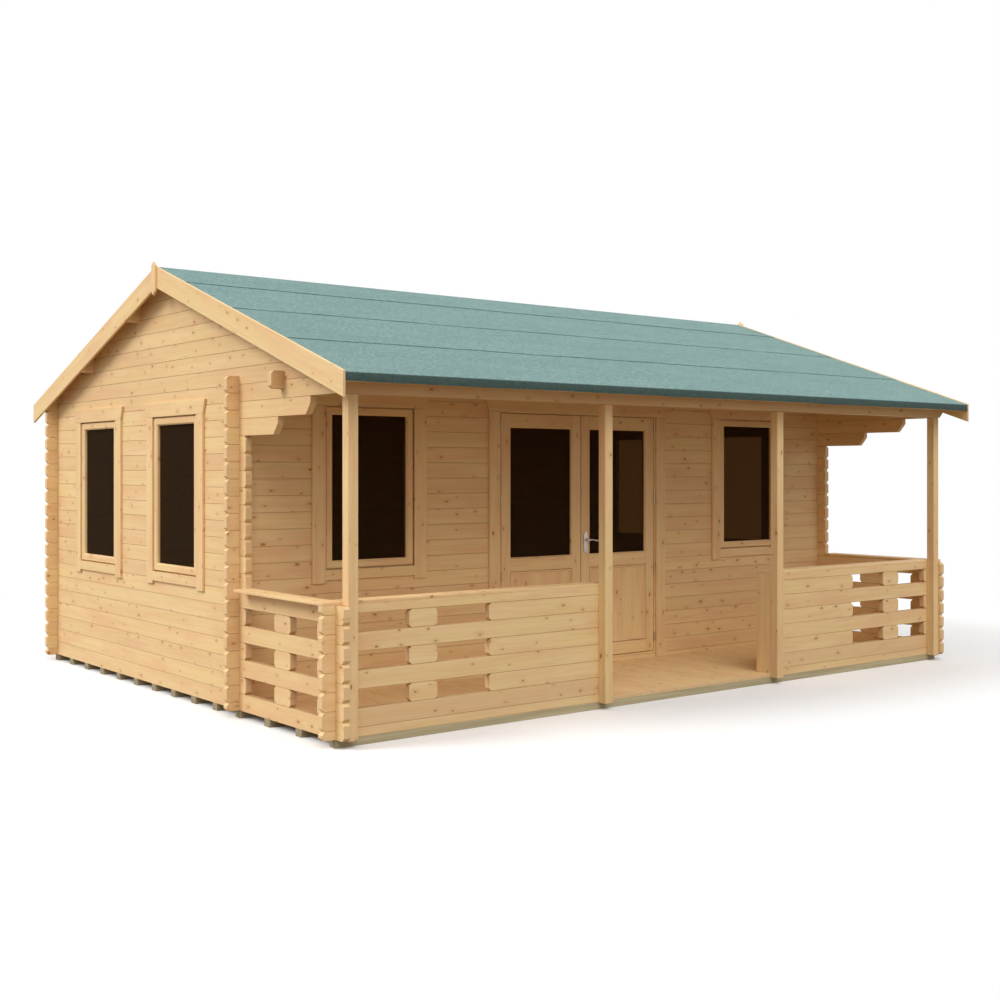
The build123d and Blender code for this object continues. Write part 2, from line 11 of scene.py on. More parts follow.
import bpy
import numpy as np
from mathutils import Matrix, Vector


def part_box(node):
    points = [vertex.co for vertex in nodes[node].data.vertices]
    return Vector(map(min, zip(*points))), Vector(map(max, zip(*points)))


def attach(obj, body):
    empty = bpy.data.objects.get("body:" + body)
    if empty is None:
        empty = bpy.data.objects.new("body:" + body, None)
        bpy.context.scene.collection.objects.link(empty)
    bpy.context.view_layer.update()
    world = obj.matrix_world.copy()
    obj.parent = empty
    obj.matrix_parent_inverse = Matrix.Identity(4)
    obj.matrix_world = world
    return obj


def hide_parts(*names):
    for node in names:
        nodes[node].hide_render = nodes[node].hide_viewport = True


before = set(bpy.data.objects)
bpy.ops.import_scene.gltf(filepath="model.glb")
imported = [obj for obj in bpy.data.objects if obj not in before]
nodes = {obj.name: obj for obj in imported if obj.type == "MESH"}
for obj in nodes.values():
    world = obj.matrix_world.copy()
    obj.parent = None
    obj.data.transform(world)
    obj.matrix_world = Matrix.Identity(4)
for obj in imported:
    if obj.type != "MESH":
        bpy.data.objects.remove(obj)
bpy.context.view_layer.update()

# %% [markdown]
# ## Camera
# A cabin is usually shown from one corner at eye height, with its uprights kept parallel.
# A level camera does that: it looks straight ahead and slides its frame down a little (shift),
# instead of tilting, which would make the posts lean together.

# %% Level camera at the left front corner
camera_data = bpy.data.cameras.new("camera")
camera_data.lens = 47.62
camera_data.sensor_width = 36
camera_data.shift_y = -0.0298
camera = bpy.data.objects.new("camera", camera_data)
camera.location = (-7.0895, -9.0939, 1.6476)
camera.rotation_euler = (radians(90), 0, radians(-38.085))
bpy.context.scene.collection.objects.link(camera)
bpy.context.scene.camera = camera
bpy.context.scene.view_settings.view_transform = "Standard"
print("camera at", tuple(camera.location))

# %% [markdown]
# ## Small helpers for shader nodes
# Materials are built as node trees. Writing out every link makes long code, so short helpers add a
# node, a sum, a blend or a pattern. An input may be a plain number or the output of another node.


# %% Nodes, sums and blends
def add_node(tree, kind, inputs=None, **settings):
    """Add one node, set its properties, and set or link its inputs by name or number."""
    made = tree.nodes.new(kind)
    for name, value in settings.items():
        setattr(made, name, value)
    for key, value in (inputs or {}).items():
        if isinstance(value, bpy.types.NodeSocket):
            tree.links.new(value, made.inputs[key])
        else:
            made.inputs[key].default_value = value
    return made


def calc(tree, operation, *values):
    """One arithmetic step on numbers or sockets."""
    return add_node(tree, "ShaderNodeMath", dict(enumerate(values)), operation=operation).outputs[0]


def blend(tree, share, first, second, mode="MIX"):
    """Blend two colours by a share from 0 to 1."""
    inputs = {0: share, 6: first, 7: second}
    return add_node(tree, "ShaderNodeMix", inputs, data_type="RGBA", blend_type=mode).outputs[2]


def stain(tree, color, mask, share, dye):
    """A colour with a dye laid over it, as strongly as a mask times a share."""
    return blend(tree, calc(tree, "MULTIPLY", mask, share), color, (*dye, 1))


def ramp(tree, value, low, high):
    """Smooth step: 0 where the value is at low, 1 where it is at high."""
    inputs = {"Value": value, "From Min": low, "From Max": high}
    return add_node(tree, "ShaderNodeMapRange", inputs, interpolation_type="SMOOTHSTEP").outputs[0]


print("nodes, sums and blends ready")


# %% Patterns, vectors and materials
def noise(tree, vector, scale, detail=2.0):
    """Soft random pattern from 0 to 1."""
    inputs = {"Vector": vector, "Scale": scale, "Detail": detail}
    return add_node(tree, "ShaderNodeTexNoise", inputs).outputs[0]


def stretch(tree, vector, scale):
    """The same coordinates, stretched by a different scale along each axis."""
    return add_node(tree, "ShaderNodeMapping", {"Vector": vector, "Scale": scale}).outputs[0]


def split(tree, vector):
    """The three numbers of a vector."""
    return add_node(tree, "ShaderNodeSeparateXYZ", {0: vector}).outputs


def join(tree, x, y, z):
    """A vector from three numbers."""
    return add_node(tree, "ShaderNodeCombineXYZ", {0: x, 1: y, 2: z}).outputs[0]


def object_place(tree):
    """Coordinates in the cabin's own frame, in metres."""
    return add_node(tree, "ShaderNodeTexCoord").outputs["Object"]


def bump(tree, strength, distance, height):
    """Normals that tilt as a height pattern rises and falls."""
    inputs = {"Strength": strength, "Distance": distance, "Height": height}
    return add_node(tree, "ShaderNodeBump", inputs).outputs[0]


def new_look(name):
    """An empty material and its node tree."""
    look = bpy.data.materials.new(name)
    look.use_nodes = True
    look.node_tree.nodes.clear()
    return look, look.node_tree


def coat(tree, inputs):
    """The Principled shader with these inputs as the surface of a material."""
    shader = add_node(tree, "ShaderNodeBsdfPrincipled", inputs).outputs[0]
    add_node(tree, "ShaderNodeOutputMaterial", {"Surface": shader})


print("patterns, vectors and materials ready")

# %% [markdown]
# ## Floor
# The cabin stands on a plain pale floor that keeps its shadow. Far from the cabin the floor turns to
# plain white where the camera sees it, so no horizon shows. Light Path tells the rays apart: those
# from the camera, from metal and through glass see the pale floor, while the light that it throws
# back at the walls stays warm and weak.

# %% Pale floor
floor_reach, shadow_reach, white_from = 60.0, 4.2, 8.0
floor_bounce, floor_seen, plain_white = (0.21, 0.18, 0.14, 1), (0.93, 0.93, 0.93, 1), (1, 1, 1, 1)


def seen(tree):
    """1 for rays that come from the camera, from glossy surfaces or through glass, and 0 for others."""
    rays = add_node(tree, "ShaderNodeLightPath").outputs
    mirrored = calc(tree, "MAXIMUM", rays["Is Camera Ray"], rays["Is Glossy Ray"])
    return calc(tree, "MAXIMUM", mirrored, rays["Is Transmission Ray"])


floor_corners = floor_reach * np.array([(-1, -1, 0), (1, -1, 0), (1, 1, 0), (-1, 1, 0)])
floor_mesh = bpy.data.meshes.new("ground")
floor_mesh.from_pydata(floor_corners.tolist(), [], [(0, 1, 2, 3)])
ground = bpy.data.objects.new("ground", floor_mesh)
bpy.context.scene.collection.objects.link(ground)
floor_look, tree = new_look("pale_floor")
place = object_place(tree)
distance = add_node(tree, "ShaderNodeVectorMath", {0: place}, operation="LENGTH").outputs["Value"]
in_view = seen(tree)
far_share = calc(tree, "MULTIPLY", ramp(tree, distance, shadow_reach, white_from), in_view)
pale = blend(tree, in_view, floor_bounce, floor_seen)
matt = add_node(tree, "ShaderNodeBsdfDiffuse", {"Color": pale}).outputs[0]
white = add_node(tree, "ShaderNodeEmission", {"Color": plain_white, "Strength": 1.0}).outputs[0]
both = add_node(tree, "ShaderNodeMixShader", {0: far_share, 1: matt, 2: white}).outputs[0]
add_node(tree, "ShaderNodeOutputMaterial", {"Surface": both})
floor_mesh.materials.append(floor_look)
print("floor reaches", floor_reach, "m and is white from", white_from, "m")

# %% [markdown]
# ## Sky and lamps
# A white sky lights the cabin softly from all round. One wide lamp from the left brightens the end
# wall, and a weaker one from the front reaches in under the eaves, over the deck and the foot of the
# wall. Both are wide, like a bright window close by, so their shadows have no hard rim.

# %% White sky and two wide lamps
sky_strength = 0.68
sky = bpy.data.worlds.new("sky")
sky.use_nodes = True
tree = sky.node_tree
tree.nodes.clear()
strength = calc(tree, "ADD", calc(tree, "MULTIPLY", seen(tree), 1 - sky_strength), sky_strength)
glow = add_node(tree, "ShaderNodeBackground", {"Color": plain_white, "Strength": strength}).outputs[0]
add_node(tree, "ShaderNodeOutputWorld", {"Surface": glow})
bpy.context.scene.world = sky

# Each lamp: name, strength, then width, tilt and turn in degrees
lamps = (("end_lamp", 1.85, 30, 52, -112), ("front_lamp", 1.28, 45, 41, -18))
for name, strength, wide, tilt, turn in lamps:
    lamp_data = bpy.data.lights.new(name, "SUN")
    lamp_data.energy = strength
    lamp_data.angle = radians(wide)
    lamp = bpy.data.objects.new(name, lamp_data)
    lamp.rotation_euler = (radians(tilt), 0, radians(turn))
    bpy.context.scene.collection.objects.link(lamp)
print("sky", sky_strength, "lamps", [lamp[1] for lamp in lamps])

# %% [markdown]
# ## Pine
# Planed pine is pale honey with darker streaks along the log, thin late-wood lines that bend round
# each knot, and small red-brown knots. One node group makes all of that from four inputs: the
# coordinates in the grain's own frame (along, across, through), a tone for each log or board, a mask
# for sawn ends and a mask for the dark joint between two logs. A group is chosen because every timber
# shares it: logs and boards only differ in the coordinates and masks that they hand in.


# %% Pine group: streaks and knots
def new_group(name, inputs, outputs):
    """An empty node group with named sockets; returns the tree, its inputs and its outputs."""
    tree = bpy.data.node_groups.new(name, "ShaderNodeTree")
    for label, kind in inputs.items():
        tree.interface.new_socket(label, in_out="INPUT", socket_type="NodeSocket" + kind)
    for label, kind in outputs.items():
        tree.interface.new_socket(label, in_out="OUTPUT", socket_type="NodeSocket" + kind)
    return tree, tree.nodes.new("NodeGroupInput").outputs, tree.nodes.new("NodeGroupOutput").inputs


pine_group, given, result = new_group(
    "pine", {"Grain": "Vector", "Tone": "Float", "End": "Float", "Joint": "Float"},
    {"Color": "Color", "Roughness": "Float", "Height": "Float"})
tree = pine_group
grain = given["Grain"]
_, across, through = split(tree, grain)
streak = noise(tree, stretch(tree, grain, (0.8, 17, 17)), 1.0, 3.0)
fibre = noise(tree, stretch(tree, grain, (9, 330, 330)), 1.0, 2.0)
blotch = noise(tree, stretch(tree, grain, (1.5, 6, 6)), 1.0, 3.0)

# Two cells in three of a random net hold a knot with a ragged rim, 10 to 25 mm across the grain.
# Lengths are in cells of the net here: a cell is a ninth of a metre across the grain.
net_scale, knot_least, knot_spread, bare_share, rim = 9.0, 0.046, 0.070, 0.34, 0.06
net_inputs = {"Vector": stretch(tree, grain, (0.55, 1, 1)), "Scale": net_scale}
knot_net = add_node(tree, "ShaderNodeTexVoronoi", net_inputs, voronoi_dimensions="2D").outputs
luck = split(tree, knot_net["Color"])
grown = calc(tree, "MULTIPLY_ADD", calc(tree, "POWER", luck[1], 2.0), knot_spread, knot_least)
knot_radius = calc(tree, "MULTIPLY", grown, calc(tree, "GREATER_THAN", luck[0], bare_share))
ragged = noise(tree, stretch(tree, grain, (60, 110, 110)), 1.0, 2.0)
wobble = calc(tree, "MULTIPLY_ADD", ragged, rim, calc(tree, "SUBTRACT", knot_net["Distance"], rim / 2))
knot = ramp(tree, wobble, knot_radius, calc(tree, "MULTIPLY", knot_radius, 0.5))
halo = ramp(tree, wobble, calc(tree, "MULTIPLY_ADD", knot_radius, 3.6, 0.0001), knot_radius)
knot_depth = calc(tree, "MULTIPLY_ADD", luck[2], 0.45, 0.53)
print("streaks and knots:", len(tree.nodes), "nodes")

# %% Pine group: late wood and sawn ends
# Thin lines across the board, whose phase follows the streaks and bends round the knots
phase = calc(tree, "MULTIPLY_ADD", across, 150.0, calc(tree, "MULTIPLY", streak, 30.0))
phase = calc(tree, "MULTIPLY_ADD", halo, 4.0, phase)
late_wood = ramp(tree, calc(tree, "SINE", phase), 0.1, 1.0)

# Rings 4 mm apart round a heart that lies below the board and a little to one side
heart_drop, heart_side, ring_phase = 0.055, 0.02, 1500.0
drop_square = calc(tree, "POWER", calc(tree, "ADD", across, heart_drop), 2.0)
side_square = calc(tree, "POWER", calc(tree, "ADD", through, heart_side), 2.0)
from_heart = calc(tree, "SQRT", calc(tree, "ADD", drop_square, side_square))
turns = calc(tree, "MULTIPLY_ADD", streak, 4.0, calc(tree, "MULTIPLY", from_heart, ring_phase))
end_rings = ramp(tree, calc(tree, "SINE", turns), 0.0, 1.0)
print("with late wood and ends:", len(tree.nodes), "nodes")

# %% Pine group: colour, polish and height
honey, dark_honey, end_wood = (0.895, 0.635, 0.330, 1), (0.84, 0.555, 0.260, 1), (0.80, 0.54, 0.29, 1)
reddish, yellowish, warm = (0.83, 0.505, 0.258), (0.87, 0.65, 0.295), (0.84, 0.535, 0.28)
late_brown, halo_brown, knot_brown = (0.66, 0.38, 0.16), (0.66, 0.36, 0.15), (0.40, 0.175, 0.056)
ring_brown, joint_brown = (0.58, 0.34, 0.15), (0.36, 0.20, 0.085)

color = blend(tree, ramp(tree, streak, 0.3, 0.75), honey, dark_honey)
color = stain(tree, color, ramp(tree, blotch, 0.46, 0.70), 0.75, reddish)
color = stain(tree, color, ramp(tree, blotch, 0.5, 0.30), 0.55, yellowish)
color = stain(tree, color, ramp(tree, given["Tone"], 0.6, 1.0), 0.4, warm)
shade = calc(tree, "MULTIPLY_ADD", given["Tone"], -0.05, 1.0)
shade = calc(tree, "MULTIPLY_ADD", late_wood, -0.03, shade)
shade = calc(tree, "MULTIPLY_ADD", fibre, -0.05, shade)
color = blend(tree, 1.0, color, join(tree, shade, shade, shade), "MULTIPLY")
color = stain(tree, color, late_wood, 0.045, late_brown)
color = stain(tree, color, halo, 0.22, halo_brown)
color = stain(tree, color, knot, knot_depth, knot_brown)
end_color = stain(tree, end_wood, end_rings, 0.3, ring_brown)
color = blend(tree, calc(tree, "MULTIPLY", given["End"], 0.75), color, end_color)
color = stain(tree, color, given["Joint"], 0.6, joint_brown)
tree.links.new(color, result["Color"])
rough = calc(tree, "MULTIPLY_ADD", fibre, 0.16, 0.50)
tree.links.new(calc(tree, "MULTIPLY_ADD", knot, -0.12, rough), result["Roughness"])
height = calc(tree, "MULTIPLY_ADD", late_wood, 0.35, calc(tree, "MULTIPLY", fibre, 0.5))
tree.links.new(calc(tree, "MULTIPLY_ADD", given["End"], end_rings, height), result["Height"])
print("pine group:", len(tree.nodes), "nodes")

# %% [markdown]
# ## Logs
# On a real wall every log is cut from another tree. The course a point belongs to follows from its
# level, since all courses are equally high, and that number seeds a random tone and a random shift
# of the grain. So the fused CAD walls show single logs without one extra face. Where the normal
# points along the log, the sawn end shows.

# %% Materials for logs and beams
log_height, joint_rim, joint_core = 0.114, 0.0030, 0.0012
wall_seed, shift_along, shift_across = 31.7, 40.0, 9.0


def pine_finish(tree, grain, tone, end, joint):
    """Join the pine group, a bump and the shader inside the material itself."""
    inputs = {"Grain": grain, "Tone": tone, "End": end, "Joint": joint}
    figure = add_node(tree, "ShaderNodeGroup", inputs, node_tree=pine_group).outputs
    coat(tree, {"Base Color": figure["Color"], "Roughness": figure["Roughness"], "Specular IOR Level": 0.3,
                "Normal": bump(tree, 0.35, 0.0012, figure["Height"])})


def log_look(name, axis, first_line, wall_scale, jointed=1.0, painted_shade=0.0):
    """Pine for logs that lie along one axis (0 is X, 1 is Y), stacked in courses from a first line.

    Course = whole part of (level - first line) / log height. The course and the wall that it is in
    seed the tone and the shift. The joint mask also carries the painted shade, an even darkening from
    0 to 1 that stands in for the shade under the roof."""
    look, tree = new_look(name)
    coords = add_node(tree, "ShaderNodeTexCoord").outputs
    place, normal = split(tree, coords["Object"]), split(tree, coords["Normal"])
    depth = place[1 - axis]
    level = calc(tree, "DIVIDE", calc(tree, "SUBTRACT", place[2], first_line), log_height)
    course = calc(tree, "FLOOR", level)
    wall = calc(tree, "FLOOR", calc(tree, "MULTIPLY", depth, wall_scale))
    seed = calc(tree, "MULTIPLY_ADD", wall, wall_seed, course)
    chance = add_node(tree, "ShaderNodeTexWhiteNoise", {"W": seed}, noise_dimensions="1D").outputs
    shift = split(tree, chance["Color"])
    from_middle = calc(tree, "SUBTRACT", calc(tree, "SUBTRACT", level, course), 0.5)
    across = calc(tree, "MULTIPLY", from_middle, log_height)
    lies_flat = calc(tree, "GREATER_THAN", calc(tree, "ABSOLUTE", normal[2]), 0.7)
    figure_y = calc(tree, "MULTIPLY_ADD", lies_flat, calc(tree, "SUBTRACT", depth, across), across)
    grain = join(tree, calc(tree, "MULTIPLY_ADD", shift[0], shift_along, place[axis]),
                 calc(tree, "MULTIPLY_ADD", shift[1], shift_across, figure_y), depth)
    end = ramp(tree, calc(tree, "ABSOLUTE", normal[axis]), 0.75, 0.95)
    half_log = log_height / 2
    joint = ramp(tree, calc(tree, "ABSOLUTE", across), half_log - joint_rim, half_log - joint_core)
    pine_finish(tree, grain, chance["Value"], end, calc(tree, "MULTIPLY_ADD", joint, jointed, painted_shade))
    return look


base_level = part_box("left_wall_lower")[0].z
side_logs = log_look("pine_side_logs", 1, base_level, 0.5)
cross_logs = log_look("pine_cross_logs", 0, base_level + log_height / 2, 2.0)
beams = log_look("pine_beams", 0, base_level, 2.0, jointed=0.0)
# Even darkening of the eaves beam and eaves boards: painted shade for the shade under the roof's overhang
eaves_timber = log_look("pine_eaves_beam", 0, base_level, 2.0, jointed=0.0, painted_shade=0.35)
print("log materials: 4")


# %% Dress the logs
def dress(look, *names):
    """Give CAD nodes a finish in all their material slots."""
    for name in names:
        for slot in nodes[name].material_slots:
            slot.link = "OBJECT"
            slot.material = look


stretches = ("wall_lower", "wall_middle", "wall_corbels", "gable")
side_walls = [side + stretch_name for side in ("left_", "right_") for stretch_name in stretches]
cross_walls = ["front_sill_log", "front_wall_left", "front_wall_right", "front_wall_top", "back_wall",
               "left_front_rail", "right_front_rail", "veranda_tie_log"]
dress(side_logs, *side_walls)
dress(cross_logs, *cross_walls)
dress(beams, "purlins")
dress(eaves_timber, "eaves_beam", "eaves_boards")
print("log walls dressed:", len(side_walls + cross_walls))

# %% [markdown]
# ## Boards
# Trim, caps, posts and bearers are planed timber with eased edges. A board is a rounded section
# carried along a straight path. Worked out as whole arrays, hundreds of boards cost no loop over
# their points: one array holds the section of every board, another its direction.
# Each point also stores where it lies in the board's own grain, so that grain follows the board.

# %% Bars: a section carried along a path
rng = np.random.default_rng(7)
quarters = (0, pi / 2, pi, 1.5 * pi)


def rounded_section(width, thickness, radius, steps=3):
    """Rounded rectangles: each corner is an arc of the radius round a point set in from the corner.

    point = corner sign * (half size - radius) + radius * (cos, sin) of the arc's angle.
    A third number tells how far a point faces sideways: 1 on the narrow sides, 0 on the wide ones."""
    width, thickness, radius = np.broadcast_arrays(np.atleast_1d(width), thickness, radius)
    signs = np.repeat([(1, 1), (-1, 1), (-1, -1), (1, -1)], steps, axis=0)
    angles = np.concatenate([np.linspace(quarter, quarter + pi / 2, steps) for quarter in quarters])
    arc = np.stack([np.cos(angles), np.sin(angles)], 1)
    half = np.stack([width, thickness], 1)[:, None] / 2 - radius[:, None, None]
    outline = signs * half + radius[:, None, None] * arc
    flank = np.broadcast_to(np.abs(np.cos(angles))[None, :, None], outline.shape[:2] + (1,))
    return np.concatenate([outline, flank], 2)


def bars(origin, along, across, length, section, start_skew=0.0, end_skew=0.0, ease=0.0):
    """Bars with a section carried along a straight path.

    point = origin + along * station + across * a + through * b, with (a, b) on the section.
    The stations are the two cuts, and a little inside them where the ends are eased.
    A cut that leans has its station moved by skew * a. The grain is unrolled round the section, so that
    narrow sides show it too. Returns points, grain, tone and end mask."""
    count = len(section)
    section, flank = section[..., :2], section[:, None, :, 2]
    origin, along, across = (np.broadcast_to(np.asarray(v, float), (count, 3))
                             for v in (origin, along, across))
    through = np.cross(along, across)
    length, start_skew, end_skew = (np.broadcast_to(v, count) for v in (length, start_skew, end_skew))
    zero = np.zeros(count)
    station = np.stack([zero, zero + ease, length - ease, length], 1)
    lean = np.stack([start_skew, start_skew, end_skew, end_skew], 1)
    at_cut = np.array([1.0, 0, 0, 1])[None, :, None]
    size = np.ptp(section, axis=1)[:, None]
    shrink = at_cut * 2 * ease / size
    loops = section[:, None] * (1 - shrink)[:, :, None]
    a, b = loops[..., 0], loops[..., 1]
    reach = station[:, :, None] + lean[:, :, None] * a
    points = (origin[:, None, None] + along[:, None, None] * reach[..., None]
              + across[:, None, None] * a[..., None] + through[:, None, None] * b[..., None])
    offset = rng.uniform(0, 60, (count, 1, 1, 2))
    unrolled = a + np.sign(a) * (size[..., 1:] / 2 - b) * flank
    grain = np.stack([reach + offset[..., 0], unrolled + offset[..., 1], b], 3)
    tone = np.broadcast_to(rng.uniform(0, 0.6, count)[:, None, None], points.shape[:3])
    end = np.broadcast_to(at_cut, points.shape[:3])
    return points, grain, tone, end


print("bars have", len(rounded_section(1, 1, 0)[0]), "points round their section")


# %% Faces and pieces
def bar_faces(count, rings, sides, start=0):
    """Quads between neighbouring rings of each bar, and one flat face on each end."""
    index = start + np.arange(count * rings * sides).reshape(count, rings, sides)
    turned = np.roll(index, -1, 2)
    quads = np.stack([index[:, :-1], turned[:, :-1], turned[:, 1:], index[:, 1:]], -1).reshape(-1, 4)
    return quads.tolist() + index[:, 0, ::-1].tolist() + index[:, -1].tolist()


def joined(sets):
    """Points and faces of several sets of ringed shapes as one mesh, one set after the other."""
    starts = np.cumsum([0] + [points[..., 0].size for points in sets])
    faces = [face for points, start in zip(sets, starts) for face in bar_faces(*points.shape[:3], start)]
    return np.concatenate([points.reshape(-1, 3) for points in sets]), faces


def put_mesh(name, points, faces, look, body, slot, replaces=(), values=None):
    """Make one piece from arrays, with named values stored at its points, riding on a body."""
    mesh = bpy.data.meshes.new(name)
    mesh.from_pydata(points.reshape(-1, 3).tolist(), [], faces)
    for label, data in (values or {}).items():
        kind, field = ("FLOAT_VECTOR", "vector") if label == "grain" else ("FLOAT", "value")
        layer = mesh.attributes.new(label, kind, "POINT")
        layer.data.foreach_set(field, np.ascontiguousarray(data, np.float32).ravel())
    mesh.materials.append(look)
    mesh.update()
    piece = bpy.data.objects.new(name, mesh)
    bpy.context.scene.collection.objects.link(piece)
    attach(piece, body)
    if replaces:
        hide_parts(*replaces)


def board_piece(name, parts, look, body="cabin", slot="joinery", replaces=()):
    """One piece from several sets of bars, with the grain, tone and end mask that they store."""
    points, grain, tone, end = zip(*parts)
    values = {"grain": np.concatenate([part.reshape(-1, 3) for part in grain]),
              "tone": np.concatenate([part.ravel() for part in tone]),
              "end": np.concatenate([part.ravel() for part in end])}
    put_mesh(name, *joined(points), look, body, slot, replaces, values)


print("a bar of 4 rings and 12 sides has", len(bar_faces(1, 4, 12)), "faces")


# %% Finish of the boards
def stored(tree, label):
    """A value that the mesh stores at its points."""
    return add_node(tree, "ShaderNodeAttribute", attribute_name=label).outputs


boards_look, tree = new_look("pine_boards")
tone, end = stored(tree, "tone")["Fac"], stored(tree, "end")["Fac"]
pine_finish(tree, stored(tree, "grain")["Vector"], tone, end, 0.0)
print("finish:", boards_look.name)

# %% [markdown]
# ## Planed boards
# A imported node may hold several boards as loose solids. Their boxes are found by joining triangles
# that share a point, so each new board goes exactly where its solid is. Rounding the CAD edges would
# do as well, but a new board also brings the grain along its own length.


# %% Boxes of a node's solids
def solid_boxes(name):
    """Lowest and highest corner of each separate solid of a CAD node, as an array (count, 2, 3).

    Equal points are merged, then every triangle hands the lowest label of its corners on until
    nothing changes: points with one label are one solid."""
    mesh = nodes[name].data
    points = np.empty(len(mesh.vertices) * 3, np.float32)
    mesh.vertices.foreach_get("co", points)
    points = points.reshape(-1, 3).astype(float)
    merged, where = np.unique(points.round(5), axis=0, return_inverse=True)
    corners = np.empty(len(mesh.loops), np.int32)
    mesh.loops.foreach_get("vertex_index", corners)
    triangles = where.ravel()[corners].reshape(-1, 3)
    labels = np.arange(len(merged))
    while True:
        lowest = labels[triangles].min(1)
        fresh = labels.copy()
        np.minimum.at(fresh, triangles.ravel(), np.repeat(lowest, 3))
        if (fresh == labels).all():
            break
        labels = fresh
    solids = [merged[labels == label] for label in np.unique(labels)]
    return np.array([(solid.min(0), solid.max(0)) for solid in solids])


def straight_boards(boxes, radius, ease, axis=None, start_skew=0.0, end_skew=0.0):
    """Boards that fill boxes: the grain runs along the longest side, or along a given axis."""
    sizes = boxes[:, 1] - boxes[:, 0]
    order = np.argsort(-sizes, 1)
    if axis is not None:
        rest = order[order != axis].reshape(len(boxes), 2)
        order = np.concatenate([np.full((len(boxes), 1), axis), rest], 1)
    along, across = np.eye(3)[order[:, 0]], np.eye(3)[order[:, 1]]
    length, width, thickness = np.take_along_axis(sizes, order, 1).T
    origin = boxes.mean(1) - along * length[:, None] / 2
    section = rounded_section(width, thickness, radius)
    return bars(origin, along, across, length, section, start_skew, end_skew, ease)


planed = {"rail_caps": 0.003, "rail_end_boards": 0.002, "veranda_posts": 0.005, "door_frame": 0.0015}
for name, radius in planed.items():
    boxes = solid_boxes(name)
    board_piece(f"{name}_planed", [straight_boards(boxes, radius, radius)], boards_look, replaces=(name,))
    print(name, len(boxes), "boards")

# %% [markdown]
# ## Boards round the windows and the doorway
# Each window has two uprights, a board under the sash and a head board whose ends splay outwards.
# The head boards are the ones wider than a window between the uprights: their two cuts lean, which
# is the skew of the bars.

# %% Outside trims
head_height, head_ear, head_least, height_slack = 0.104, 0.036, 0.9, 0.002
trim_radius, trim_ease = 0.002, 0.0012
trims = solid_boxes("outside_trims")
sizes = trims[:, 1] - trims[:, 0]
is_head = (np.abs(sizes[:, 2] - head_height) < height_slack) & (sizes[:, :2].max(1) > head_least)
heads, others = trims[is_head], trims[~is_head]
head_axis = np.argmax(heads[:, 1] - heads[:, 0], 1)
lean = head_ear / head_height
inset = np.zeros_like(heads)
inset[np.arange(len(heads)), :, head_axis] = (head_ear / 2, -head_ear / 2)
trim_parts = [straight_boards(heads + inset, trim_radius, trim_ease, start_skew=-lean, end_skew=lean),
              straight_boards(others, trim_radius, trim_ease)]
board_piece("trim_boards", trim_parts, boards_look, replaces=("outside_trims",))
print("trims:", len(heads), "heads and", len(others), "others")

# %% [markdown]
# ## Bargeboards and roof boards
# The bargeboards follow the pitch of the roof and are cut plumb at both ends, so their cuts lean by
# the tangent of the pitch. The roof itself is one layer of boards from ridge to eaves: narrow boards
# side by side, whose undersides show above the veranda.

# %% Bargeboards
pitch = radians(19.24)
down_front = np.array([0, -cos(pitch), -sin(pitch)])
up_front = np.array([0, -sin(pitch), cos(pitch)])
turn_back = np.array([1, -1, 1])
barge_height, barge_radius, barge_ease = 0.145, 0.002, 0.001


def sloping(boxes, height, thickness, radius):
    """Bargeboards: from the ridge end of each box down the slope, with plumb cuts."""
    middle = boxes.mean(1)
    front = middle[:, 1] < 0
    along = np.where(front[:, None], down_front, down_front * turn_back)
    across = np.where(front[:, None], up_front, up_front * turn_back)
    ridge_y = np.where(front, boxes[:, 1, 1], boxes[:, 0, 1])
    run = np.ptp(boxes[:, :, 1], axis=1)
    origin = np.stack([middle[:, 0], ridge_y, boxes[:, 1, 2] - height / cos(pitch) / 2], 1)
    section = rounded_section(np.full(len(boxes), height), thickness, radius)
    return bars(origin, along, across, run / cos(pitch), section, -tan(pitch), -tan(pitch), barge_ease)


barge_boxes = solid_boxes("bargeboards")
barge_thickness = barge_boxes[0, 1, 0] - barge_boxes[0, 0, 0]
barges = sloping(barge_boxes, barge_height, barge_thickness, barge_radius)
board_piece("bargeboards_planed", [barges], boards_look, replaces=("bargeboards",))
print("bargeboards:", len(barge_boxes))

# %% Roof boards
roof_board_count, roof_board_gap, roof_board_thickness, roof_board_radius = 52, 0.0012, 0.019, 0.003
ridge_gap = 0.0003
for name, flip in (("front_roof_boards", np.ones(3)), ("rear_roof_boards", turn_back)):
    low, high = map(np.array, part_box(name))
    run = (high - low)[1]
    edges = np.linspace(low[0], high[0], roof_board_count + 1)
    ridge = np.array([0, ridge_gap * -flip[1], high[2] - roof_board_thickness / cos(pitch) / 2])
    origin = ridge + np.outer((edges[1:] + edges[:-1]) / 2, [1, 0, 0])
    lying = rounded_section(np.diff(edges) - roof_board_gap, roof_board_thickness, roof_board_radius)
    wide, thick, flank = np.moveaxis(lying[:, ::-1], 2, 0)
    section = np.stack([thick, wide, 1 - flank], 2)
    along, across = down_front * flip, up_front * flip
    part = bars(origin, along, across, run / cos(pitch), section, -tan(pitch), -tan(pitch))
    board_piece(f"{name}_laid", [part], boards_look, slot="timber", replaces=(name,))
print("roof boards:", 2 * roof_board_count)

# %% [markdown]
# ## Finials
# A finial covers the joint where two bargeboards meet. It is a short board with a point at both ends,
# so its outline is carried through its thickness, and its grain is turned upright afterwards.

# %% Finials
finial_point, finial_ease = 0.028, 0.0015


def finial(low, high):
    """Six-sided outline, pointed above and below, carried through the thickness of the board."""
    y, z = (high - low)[1:] / 2
    neck_z = z - finial_point
    outline = np.array([(y, neck_z), (0, z), (-y, neck_z), (-y, -neck_z), (0, -z), (y, -neck_z)])
    section = np.column_stack([outline, np.zeros(6)])[None]
    origin = np.array([low[0], *(low + high)[1:] / 2])
    points, grain, tone, end = bars(origin, (1, 0, 0), (0, 1, 0), high[0] - low[0], section, ease=finial_ease)
    return points, grain[..., ::-1], tone, 0 * end


